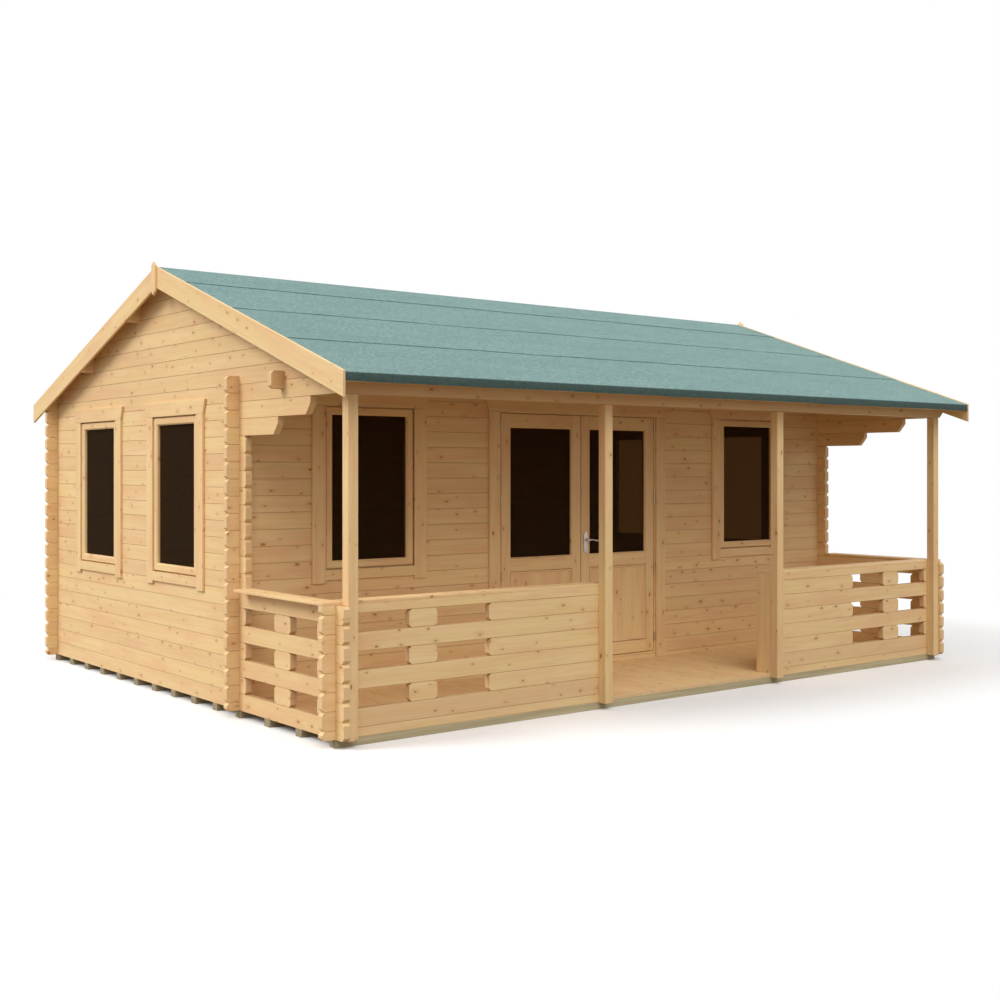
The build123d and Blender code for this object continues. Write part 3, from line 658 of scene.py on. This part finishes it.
finials = [finial(low, high) for low, high in solid_boxes("finials")]
board_piece("finials_pointed", finials, boards_look, replaces=("finials",))
print("finials:", len(finials))

# %% [markdown]
# ## Deck and floor
# The boards lie across the bearers, so they run from front to back. The deck's middle boards reach
# out between the rails, as the entrance does. A grooved slab would show the lines too, but separate
# boards with a thin gap have eased edges and a tone of their own.

# %% Deck and floor boards
laid_gap, laid_radius, laid_ease = 0.0016, 0.003, 0.0015
bay_boards, entrance_boards, floor_board_count = 18, 15, 51
rail_gap, end_gap = 0.0003, 0.0006


def laid_boards(x0, x1, y0, y1, z0, z1, count):
    """Boards side by side from x0 to x1, with a thin gap between neighbours."""
    edges = np.linspace(x0, x1, count + 1)
    low = np.stack([edges[:-1] + laid_gap / 2, np.full(count, y0), np.full(count, z0)], 1)
    high = np.stack([edges[1:] - laid_gap / 2, np.full(count, y1), np.full(count, z1)], 1)
    return straight_boards(np.stack([low, high], 1), laid_radius, laid_ease, axis=1)


(x0, y0, z0), (x1, y1, z1) = map(np.array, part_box("deck"))
bay_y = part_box("left_front_rail")[1].y + rail_gap
entrance_x = abs(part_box("left_front_rail")[1].x) - end_gap
deck_parts = [laid_boards(x0, -entrance_x, bay_y, y1, z0, z1, bay_boards),
              laid_boards(-entrance_x, entrance_x, y0, y1, z0, z1, entrance_boards),
              laid_boards(entrance_x, x1, bay_y, y1, z0, z1, bay_boards)]
board_piece("deck_boards", deck_parts, boards_look, slot="timber", replaces=("deck",))
(x0, y0, z0), (x1, y1, z1) = map(np.array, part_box("floor"))
floor_part = laid_boards(x0, x1, y0, y1, z0, z1, floor_board_count)
board_piece("floor_boards", [floor_part], boards_look, slot="timber", replaces=("floor",))
print("deck boards:", 2 * bay_boards + entrance_boards, "floor boards:", floor_board_count)

# %% [markdown]
# ## Bearers
# The bearers are rough-sawn, pressure-treated timber: greyer and greener than the pine, with saw marks.
# The same bars serve, with a finish of their own.

# %% Treated timber
pale_olive, olive = (0.61, 0.505, 0.305, 1), (0.45, 0.37, 0.215, 1)
sawn_brown, mark_brown = (0.20, 0.155, 0.10), (0.36, 0.30, 0.165)
bearer_radius, bearer_ease = 0.002, 0.001

treated_look, tree = new_look("treated_timber")
grain = stored(tree, "grain")["Vector"]
streak = noise(tree, stretch(tree, grain, (1.5, 30, 30)), 1.0, 3.0)
saw_marks = noise(tree, stretch(tree, grain, (160, 6, 6)), 1.0, 2.0)
color = blend(tree, ramp(tree, streak, 0.3, 0.7), pale_olive, olive)
color = stain(tree, color, stored(tree, "end")["Fac"], 0.65, sawn_brown)
color = stain(tree, color, saw_marks, 0.3, mark_brown)
coat(tree, {"Base Color": color, "Roughness": calc(tree, "MULTIPLY_ADD", streak, 0.2, 0.7),
            "Normal": bump(tree, 0.6, 0.002, saw_marks)})

bearer_boxes = solid_boxes("bearers")
bearers = straight_boards(bearer_boxes, bearer_radius, bearer_ease)
board_piece("bearers_sawn", [bearers], treated_look, slot="bearer_timber", replaces=("bearers",))
print("bearers:", len(bearer_boxes))

# %% [markdown]
# ## Window sashes
# A sash is one moulded profile carried round a rectangle and mitred at its corners. Each of the four
# sides is a bar whose cuts lean by one, so the corners close by themselves. The profile is given as
# (inset from the opening, depth behind the wall face). The fixed frame lies back behind the trim, which
# leaves a dark shadow line round the sash.

# %% Profiles round a rectangle
window_width, window_height, pane_depth = 0.787, 1.185, 0.020
frame_profile = [(0.0003, 0.016), (0.034, 0.016), (0.034, 0.045), (0.0003, 0.045)]
sash_profile = [(0.030, -0.004), (0.032, -0.006), (0.0725, -0.006), (0.082, 0.003), (0.082, 0.045),
                (0.0345, 0.045), (0.0345, 0.0155), (0.030, 0.0155)]


def framed(profile, centre, wide, inward, half, low, high):
    """Four mitred bars round an opening: each side starts at a corner and turns clockwise.

    point = corner + along * station + inset direction * a + inward * d."""
    up = np.array([0, 0, 1.0])
    wide, inward, centre = (np.asarray(v, float) for v in (wide, inward, centre))
    signs = ((-half, high), (half, high), (half, low), (-half, low))
    corners = np.array([centre + wide * x + up * z for x, z in signs])
    along = np.array([wide, -up, -wide, up])
    across = np.array([-up, -wide, up, wide])
    length = np.array([2 * half, high - low, 2 * half, high - low])
    plain = np.column_stack([profile, np.zeros(len(profile))])
    section = np.broadcast_to(plain, (4,) + plain.shape)
    return bars(corners, along, across, length, section, 1.0, -1.0)


panes = solid_boxes("window_panes")
window_parts = []
for low, high in panes:
    middle = (low + high) / 2
    axis = int(np.argmin((high - low)[:2]))
    inward = np.eye(3)[axis] * -np.sign(middle[axis])
    wide = np.cross(inward, [0, 0, 1])
    centre = middle - inward * pane_depth
    half, rise = window_width / 2, window_height / 2
    for profile in (frame_profile, sash_profile):
        window_parts.append(framed(profile, centre, wide, inward, half, -rise, rise))
board_piece("window_sashes", window_parts, boards_look, replaces=("window_frames",))
print("windows:", len(panes))

# %% [markdown]
# ## Door leaves
# A leaf is two stiles and three rails. The glass sits in a bevelled bead. The lower panel is a board
# held by a rounded bead on both faces, with a narrow shadow gap all round, so that the board can swell
# and shrink. They are the bars and frames from before, in the leaf's place.

# %% Two leaves
stile, top_rail, middle_rail, bottom_rail = 0.098, 0.109, 0.118, 0.112
pane_bevel, panel_bevel, pane_height, hairline, bead_rim = 0.009, 0.010, 1.005, 0.0004, 0.0006
panel_side_gap, panel_end_gap = 0.004, 0.005
stile_radius, stile_ease, rail_radius, panel_radius = 0.0015, 0.001, 0.0012, 0.001
panel_bead = [(0.004, 0.0105), (0.004, 0.0025), (0.0065, 0.0), (0.012, 0.0), (0.0165, 0.0025),
              (0.019, 0.007), (0.0195, 0.0105)]


def leaf_beads(centre, half, depth, pane_levels, panel_levels):
    """One splayed bead round the pane through the whole leaf, and a rounded one on each face of the panel."""
    splay = [(hairline, bead_rim), (pane_bevel, pane_bevel), (pane_bevel, depth - pane_bevel),
             (hairline, depth - bead_rim)]
    rear_bead = [(inset, depth - sunk) for inset, sunk in panel_bead[::-1]]
    rows = ((splay, pane_levels), (panel_bead, panel_levels), (rear_bead, panel_levels))
    return [framed(profile, centre, (1, 0, 0), (0, 1, 0), half, *levels) for profile, levels in rows]


def leaf_parts(low, high):
    """Stiles, rails, panel and beads between the corners of a leaf."""
    (x0, y0, z0), (x1, y1, z1) = low, high
    inner0, inner1 = x0 + stile - pane_bevel, x1 - stile + pane_bevel
    pane_top = z1 - top_rail
    pane_foot = pane_top - pane_height
    panel_top, panel_foot = pane_foot - middle_rail, z0 + bottom_rail
    pane_levels = pane_foot - pane_bevel, pane_top + pane_bevel
    panel_levels = panel_foot - panel_bevel, panel_top + panel_bevel
    centre, half = ((x0 + x1) / 2, y0, 0), (inner1 - inner0) / 2
    beads = leaf_beads(centre, half, y1 - y0, pane_levels, panel_levels)
    uprights = [((x0, y0, z0), (inner0, y1, z1)), ((inner1, y0, z0), (x1, y1, z1))]
    levels = [(pane_levels[1], z1), (panel_levels[1], pane_levels[0]), (z0, panel_levels[0])]
    rails = [((inner0 + hairline, y0, foot), (inner1 - hairline, y1, top)) for foot, top in levels]
    panel = [((inner0 + panel_side_gap, y0 + panel_bevel, panel_foot - panel_end_gap),
              (inner1 - panel_side_gap, y1 - panel_bevel, panel_top + panel_end_gap))]
    return [straight_boards(np.array(uprights), stile_radius, stile_ease, axis=2),
            straight_boards(np.array(rails), rail_radius, 0.0, axis=0),
            straight_boards(np.array(panel), panel_radius, 0.0, axis=2)] + beads


for side in ("left", "right"):
    parts = leaf_parts(*map(np.array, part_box(f"{side}_door")))
    board_piece(f"{side}_leaf_joinery", parts, boards_look, f"{side}_leaf", "joinery", (f"{side}_door",))
    print(side, "leaf:", len(parts), "sets of bars")

# %% [markdown]
# ## Glass
# The panes look nearly black from outside, because little light comes back out of the room.
# Brown-tinted clear glass gives that without painting anything: light is dimmed on its way in and out.
# It is coated against glare, so its surface mirrors little. A thin film of dust varies the polish.

# %% Dark glass
brown_tint, dusty_tint = (0.190, 0.118, 0.060, 1), (0.212, 0.133, 0.069, 1)
glass_look, tree = new_look("dark_glass")
dust = noise(tree, object_place(tree), 9.0, 4.0)
coat(tree, {"Base Color": blend(tree, dust, brown_tint, dusty_tint), "Transmission Weight": 0.91, "IOR": 1.02,
            "Roughness": calc(tree, "MULTIPLY_ADD", dust, 0.03, 0.0)})
pane_names = ("window_panes", "left_door_pane", "right_door_pane")
dress(glass_look, *pane_names)
print("glass dressed:", len(pane_names), "nodes")

# %% [markdown]
# ## Felt
# Mineral felt is a tarred sheet strewn with green slate grit. Light and dark grains lie side by side,
# and the colour clouds where the roll was pressed. Cells of a random net make the grains; two noises
# make the clouds and patches. A stored value darkens the cut edges, where the tar shows, and also
# paints shade along the lap lines and round the bend of the eaves fold.

# %% Felt finish
green, pale_green, deep_green = (0.156, 0.271, 0.254, 1), (0.184, 0.311, 0.293, 1), (0.100, 0.200, 0.192)
bloom, pale_grit, dark_grit = (0.27, 0.41, 0.39), (0.44, 0.58, 0.54), (0.056, 0.13, 0.122)
# Dark multiplier: tar on the cut edges, and painted shade along the laps and round the eaves fold
tar_and_painted_shade = (0.19, 0.215, 0.19, 1)

felt_look, tree = new_look("green_felt")
place = object_place(tree)
grit = add_node(tree, "ShaderNodeTexVoronoi", {"Vector": place, "Scale": 420.0}).outputs
speck = split(tree, grit["Color"])[0]
cloud = noise(tree, stretch(tree, place, (1.6, 5, 5)), 1.0, 4.0)
patch = noise(tree, place, 38.0, 5.0)
color = blend(tree, ramp(tree, cloud, 0.3, 0.7), green, pale_green)
color = stain(tree, color, ramp(tree, patch, 0.40, 0.66), 0.62, deep_green)
color = stain(tree, color, ramp(tree, patch, 0.46, 0.30), 0.40, bloom)
color = stain(tree, color, calc(tree, "GREATER_THAN", speck, 0.78), 0.55, pale_grit)
color = stain(tree, color, calc(tree, "LESS_THAN", speck, 0.2), 0.6, dark_grit)
# Darker at the cut edges, where the tar shows, with painted shade along the lap lines and down the bend of
# the eaves fold
color = blend(tree, stored(tree, "edge")["Fac"], color, tar_and_painted_shade, "MULTIPLY")
grit_height = calc(tree, "MULTIPLY_ADD", patch, 0.6, calc(tree, "MULTIPLY", grit["Distance"], -1.0))
coat(tree, {"Base Color": color, "Roughness": calc(tree, "MULTIPLY_ADD", speck, 0.12, 0.82),
            "Normal": bump(tree, 0.7, 0.003, grit_height)})
print("felt finish:", len(tree.nodes), "nodes")

# %% [markdown]
# ## Felt strips
# Felt comes in rolls, laid from the eaves up so that each strip laps over the one below, and one more
# strip is bent over the ridge. Its lower edges wander a little and the sheet is never quite flat.
# A strip is a closed section in the plane across the roof, carried along the ridge, while sine waves
# shift its edge and lift its top. Cloth would sag here, but felt lies on boards, so waves are enough.

# %% Sections along the ridge
felt, felt_lift, stations = 0.004, 0.0004, 180
felt_low, felt_high = map(np.array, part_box("front_felt"))
felt_x = np.linspace(felt_low[0], felt_high[0], stations)
slope_length = -felt_low[1] / cos(pitch)
boards_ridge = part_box("front_roof_boards")[1].z + tan(pitch) * ridge_gap


def waves(x, seed, lengths=(1.9, 0.83, 0.41, 0.19)):
    """Sum of sine waves along the ridge, each shorter one half as high, from -1 to 1 or so."""
    starts = np.random.default_rng(seed).uniform(0, 2 * pi, len(lengths))
    rows = [np.sin(2 * pi * x / length + start) for length, start in zip(lengths, starts)]
    return sum(row / 2 ** n for n, row in enumerate(rows)) / 1.5


def roof_points(x, down, lift, flip):
    """Points of the roof from a distance down the slope and a lift square to it; flip -1 is the rear."""
    y = -down * cos(pitch) - lift * sin(pitch)
    z = boards_ridge - down * sin(pitch) + lift * cos(pitch)
    return np.stack(np.broadcast_arrays(x[:, None], y * flip, z), -1)


def felt_piece(name, points, edge, flip=1, replaces=()):
    """Closed strip: sections carried along the ridge, with a flat face at both gables.

    On the rear slope the section runs the other way round, so that its faces still point outwards."""
    points, edge = points[None, :, ::flip], edge[::flip]
    values = {"edge": np.broadcast_to(edge, points.shape[1:3])}
    put_mesh(name, points, bar_faces(*points.shape[:3]), felt_look, "cabin", "roofing_felt", replaces, values)


print("felt slope:", round(slope_length, 3), "m")

# %% Eaves strips and lapped strips
exposure, eaves_lap, upper_lap, wander_height = 0.762, 0.10, 0.08, 0.006
ripple_lengths, eaves_ripple, strip_ripple = (0.7, 0.33, 0.21, 0.12), 0.0008, 0.0009
fold_radius, fold_thickness, fold_room, hem_wander = 0.010, 0.003, 0.0015, 0.002
first_lap = slope_length - exposure


def eaves_strip(flip):
    """Lowest strip: flat down the slope, bent round an arc at the eaves, then plumb in front of the boards.

    Arc point = end of the flat + radius * (sin and cos of the turned angle less those of the pitch)."""
    share = np.linspace(0, 1, 11)
    top = first_lap - eaves_lap
    flat_end = slope_length - fold_radius * tan((pi / 2 - pitch) / 2) - fold_room
    down = np.broadcast_to(top + share * (flat_end - top), (stations, 11))
    ripple = eaves_ripple * waves(felt_x, 5 + flip, ripple_lengths)[:, None] * np.sin(pi * share)
    upper = roof_points(felt_x, down, felt_lift + felt + ripple, flip)
    angle = pitch + np.linspace(0, pi / 2 - pitch, 6)
    turn = np.stack([np.zeros(6), -fold_radius * (np.sin(angle) - sin(pitch)),
                     fold_radius * (np.cos(angle) - cos(pitch))], 1)
    curve = upper[:, -1:] + turn[None, 1:] * np.array([1, flip, 1])
    fall = curve[:, -1:].copy()
    fall[..., 2] = felt_low[2] + hem_wander * waves(felt_x, 9 + flip)[:, None] + hem_wander
    back = np.array([0, flip * fold_thickness, 0])
    under = roof_points(felt_x, down[:, ::-2], np.full((stations, 6), felt_lift), flip)
    section = np.concatenate([upper, curve, fall, fall + back, curve[:, -1:] + back, under], 1)
    # Darkening rises round the bend and is full on the hanging face and hem: painted shade on the bend and
    # face, tar on the cut hem
    edge = np.r_[np.zeros(11), 0.30, 0.55, 0.74, 0.82, 0.85, 0.97, 1.0, 1.0, np.zeros(6)]
    return section, edge


def lapped_strip(top, foot, seed, flip):
    """Strip between two distances down the slope, from its top edge down and back underneath."""
    share = np.r_[np.linspace(0, 0.97, 11), 0.992, 1]
    wander = foot + wander_height * waves(felt_x, seed)[:, None]
    down = top + share * (wander - top)
    bed = felt_lift + felt * np.clip((down - top) / (foot - top), 0, 1)
    ripple = strip_ripple * waves(felt_x, seed + 1, ripple_lengths)[:, None] * np.sin(pi * share / 2)
    upper = roof_points(felt_x, down, bed + felt + ripple, flip)
    under = roof_points(felt_x, down[:, ::-3], bed[:, ::-3], flip)
    # Darker at the foot and on the step under it: tar on the cut edge, with painted shade along the lap line
    edge = np.r_[np.zeros(12), 0.15, np.full(under.shape[1], 0.5)]
    return np.concatenate([upper, under], 1), edge


for side, flip in (("front", 1), ("rear", -1)):
    felt_piece(f"{side}_felt_eaves", *eaves_strip(flip), flip, (f"{side}_felt",))
    for number, foot in ((1, first_lap), (2, first_lap - exposure)):
        strip = lapped_strip(foot - exposure - upper_lap, foot, 20 * number + flip, flip)
        felt_piece(f"{side}_felt_strip_{number}", *strip, flip)
print("felt strips: 6, lap lines wander by", wander_height, "m")

# %% Ridge strip
ridge_reach, ridge_lift, ridge_rise = 0.490, 0.0006, 0.15
share = np.r_[np.linspace(0, 0.96, 8), 0.988, 1]
lift = ridge_lift + felt * (1 + share * ridge_rise)
over, below = [], []
for flip in (1, -1):
    down = (ridge_reach + wander_height * waves(felt_x, 70 + flip)[:, None]) * share
    over.append(roof_points(felt_x, down, lift + felt, flip))
    below.append(roof_points(felt_x, down, lift, flip))
section = np.concatenate([over[1][:, :0:-1], over[0], below[0][:, ::-3], below[1][:, 3::3]], 1)
# Darker at both lower edges and underneath: tar on the cut edges, with painted shade along their laps
edge = np.r_[0.15, np.zeros(17), 0.15]
edge = np.r_[edge, np.full(section.shape[1] - len(edge), 0.6)]
felt_piece("ridge_felt_bent", section, edge, replaces=("ridge_felt",))
print("ridge strip reaches", ridge_reach, "m down each slope")

# %% [markdown]
# ## Hinges
# The barrel hinges are yellow-passivated steel and the handle is satin steel. Fine brush marks run
# one way and vary colour, polish and height alike, so one function makes both metals.
# A barrel is turned: a profile of radius and height is spun round an axis.


# %% Brushed metal
def metal_look(name, dark, light, polish):
    """Brushed metal: fine marks vary the colour, the polish and the height of the surface."""
    look, tree = new_look(name)
    place = object_place(tree)
    brushed = noise(tree, stretch(tree, place, (60, 60, 900)), 1.0, 2.0)
    smear = noise(tree, place, 35.0, 3.0)
    rough = calc(tree, "MULTIPLY_ADD", brushed, 0.14, calc(tree, "MULTIPLY_ADD", smear, 0.1, polish))
    coat(tree, {"Base Color": blend(tree, brushed, (*dark, 1), (*light, 1)), "Metallic": 1.0,
                "Roughness": rough, "Normal": bump(tree, 0.1, 0.0005, brushed)})
    return look


satin_steel = metal_look("satin_steel", (0.44, 0.42, 0.39), (0.58, 0.55, 0.51), 0.24)
yellow_steel = metal_look("yellow_steel", (0.46, 0.35, 0.19), (0.58, 0.45, 0.26), 0.34)
print("metals:", satin_steel.name, yellow_steel.name)

# %% Turned barrels
barrel_radius, barrel_length, barrel_shoulder, barrel_dome, barrel_pip = 0.007, 0.038, 0.0025, 0.0004, 0.0008
barrel_end = [(barrel_pip, 0.0), (barrel_radius * 0.75, barrel_dome), (barrel_radius, barrel_shoulder)]
barrel = barrel_end + [(radius, barrel_length - rise) for radius, rise in barrel_end[::-1]]


def turned(profile, centres, axis=(0, 0, 1), sides=20):
    """Spun shapes: point = centre + radius * (cos * u + sin * v) + height * axis.

    u and v are square to the axis. The profile starts and ends near the axis, where a flat face closes it."""
    profile, axis = np.asarray(profile, float), np.asarray(axis, float)
    u = np.array([1.0, 0, 0])
    v = np.cross(axis, u)
    angles = np.arange(sides) * 2 * pi / sides
    ring = np.outer(np.cos(angles), u) + np.outer(np.sin(angles), v)
    return np.atleast_2d(centres)[:, None, None] + profile[:, None, :1] * ring + profile[:, None, 1:] * axis


hinge_bodies = {"frame_hinges": "cabin", "left_door_hinges": "left_leaf", "right_door_hinges": "right_leaf"}
for name, body in hinge_bodies.items():
    boxes = solid_boxes(name)
    centres = np.concatenate([boxes.mean(1)[:, :2], boxes[:, :1, 2]], 1)
    points = turned(barrel, centres)
    faces = bar_faces(*points.shape[:3])
    put_mesh(f"{name}_turned", points, faces, yellow_steel, body, "satin_steel", (name,))
    print(name, len(boxes), "barrels")

# %% [markdown]
# ## Handle
# The plate is a rounded section carried upwards while its width changes: wide in the middle, with
# shoulders and round ends. The lever is an oval carried along a path that swings gently, thin in the
# middle and full at the grip. Its neck and the screw heads are turned, as the barrels were.


# %% Plate
def smooth(x):
    """Smooth step from 0 to 1."""
    x = np.clip(x, 0, 1)
    return x * x * (3 - 2 * x)


knob_share, round_end, shoulder_start, shoulder, plate_round = 0.6, 0.009, 0.016, 0.012, 0.0026
plate_levels, plate_tip = 56, 0.04


def plate_rings(low, high):
    """Plate between two corners: half width = round end * (knob + widening between two smooth shoulders)."""
    tall, half = high[2] - low[2], (high[0] - low[0]) / 2
    knob = knob_share * half
    rise = tall / 2 * (1 - np.cos(np.linspace(plate_tip, pi - plate_tip, plate_levels)))
    from_end = np.minimum(rise, tall - rise)
    width = knob + (half - knob) * smooth((from_end - shoulder_start) / shoulder)
    width = width * np.sqrt(1 - (1 - np.clip(from_end / round_end, 0, 1)) ** 2)
    section = rounded_section(2 * width, high[1] - low[1], np.minimum(plate_round, 0.9 * width))[..., :2]
    flat = np.concatenate([section, np.zeros(section.shape[:2] + (1,))], 2)
    middle = (low + high) / 2
    levels = np.stack([np.full(plate_levels, middle[0]), np.full(plate_levels, middle[1]), low[2] + rise], 1)
    return (flat + levels[:, None])[None]


print("plate rings:", plate_levels)

# %% Lever
lever_root, lever_swing, lever_sides = 0.010, 0.0042, 16


def lever_rings(axis_x, y, axis_z, reach):
    """Lever: an oval carried along a swinging path; point = path + normal * a * cos - Y * b * sin."""
    x = np.concatenate([np.linspace(-lever_root, 0, 9)[:-1], np.linspace(0, reach, 48)])
    share = np.clip(x / reach, 0, 1)
    swing = lever_swing * np.sin(2 * pi * share) * smooth(share / 0.3)
    path = np.stack([axis_x + x, np.full(len(x), y), axis_z + swing], 1)
    tangent = np.gradient(path, axis=0)
    tangent /= np.linalg.norm(tangent, axis=1)[:, None]
    normal = np.stack([-tangent[:, 2], np.zeros(len(x)), tangent[:, 0]], 1)
    round_root = np.sqrt(1 - (0.97 * np.clip(-x / lever_root, 0, 1)) ** 2)
    round_tip = np.sqrt(1 - (0.98 * np.clip((share - 0.92) / 0.08, 0, 1)) ** 2)
    near_root, grip = smooth(1 - share / 0.35), smooth((share - 0.45) / 0.35)
    tall = (0.0052 + 0.0043 * near_root + 0.0024 * grip) * round_root * round_tip
    deep = (0.0048 + 0.0020 * near_root + 0.0012 * grip) * round_root * round_tip
    angles = np.arange(lever_sides) * 2 * pi / lever_sides
    oval = normal[:, None] * (tall[:, None] * np.cos(angles))[..., None]
    oval = oval - np.array([0, 1.0, 0]) * (deep[:, None] * np.sin(angles))[..., None]
    return (path[:, None] + oval)[None]


print("lever swings by", lever_swing, "m")

# %% Plates, necks and levers on both faces
neck = [(0.001, 0.0003), (0.0125, 0.0003), (0.0125, 0.0018), (0.0108, 0.0040), (0.0078, 0.0062),
        (0.0068, 0.0110), (0.0068, 0.0240), (0.0078, 0.0300), (0.0078, 0.0340), (0.001, 0.0345)]
screw = [(0.0005, -0.0004), (0.0040, -0.0004), (0.0038, 0.0006), (0.0024, 0.0014), (0.0005, 0.0016)]
bar_inset, screw_inset = 0.007, 0.012
lever_low, lever_high = map(np.array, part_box("door_lever"))
lever_middle = (lever_low + lever_high) / 2
axis_x, axis_z = lever_low[0] + lever_root, lever_middle[2]
plates, levers = [], []
for low, high in solid_boxes("handle_plates"):
    middle = (low + high) / 2
    outward = np.sign(middle[1] - lever_middle[1])
    face_y = low[1] if outward < 0 else high[1]
    bar_y = lever_low[1] + bar_inset if outward < 0 else lever_high[1] - bar_inset
    screws = [(middle[0], face_y, level) for level in (low[2] + screw_inset, high[2] - screw_inset)]
    plates += [plate_rings(low, high), turned(screw, screws, (0, outward, 0), 14)]
    levers += [turned(neck, (axis_x, face_y, axis_z), (0, outward, 0), 24),
               lever_rings(axis_x, bar_y, axis_z, lever_high[0] - axis_x)]
put_mesh("handle_plates_shaped", *joined(plates), satin_steel, "right_leaf", "satin_steel",
         ("handle_plates",))
put_mesh("door_lever_bent", *joined(levers), satin_steel, "lever", "satin_steel", ("door_lever",))
print("plates:", len(plates) // 2, "levers:", len(levers) // 2)
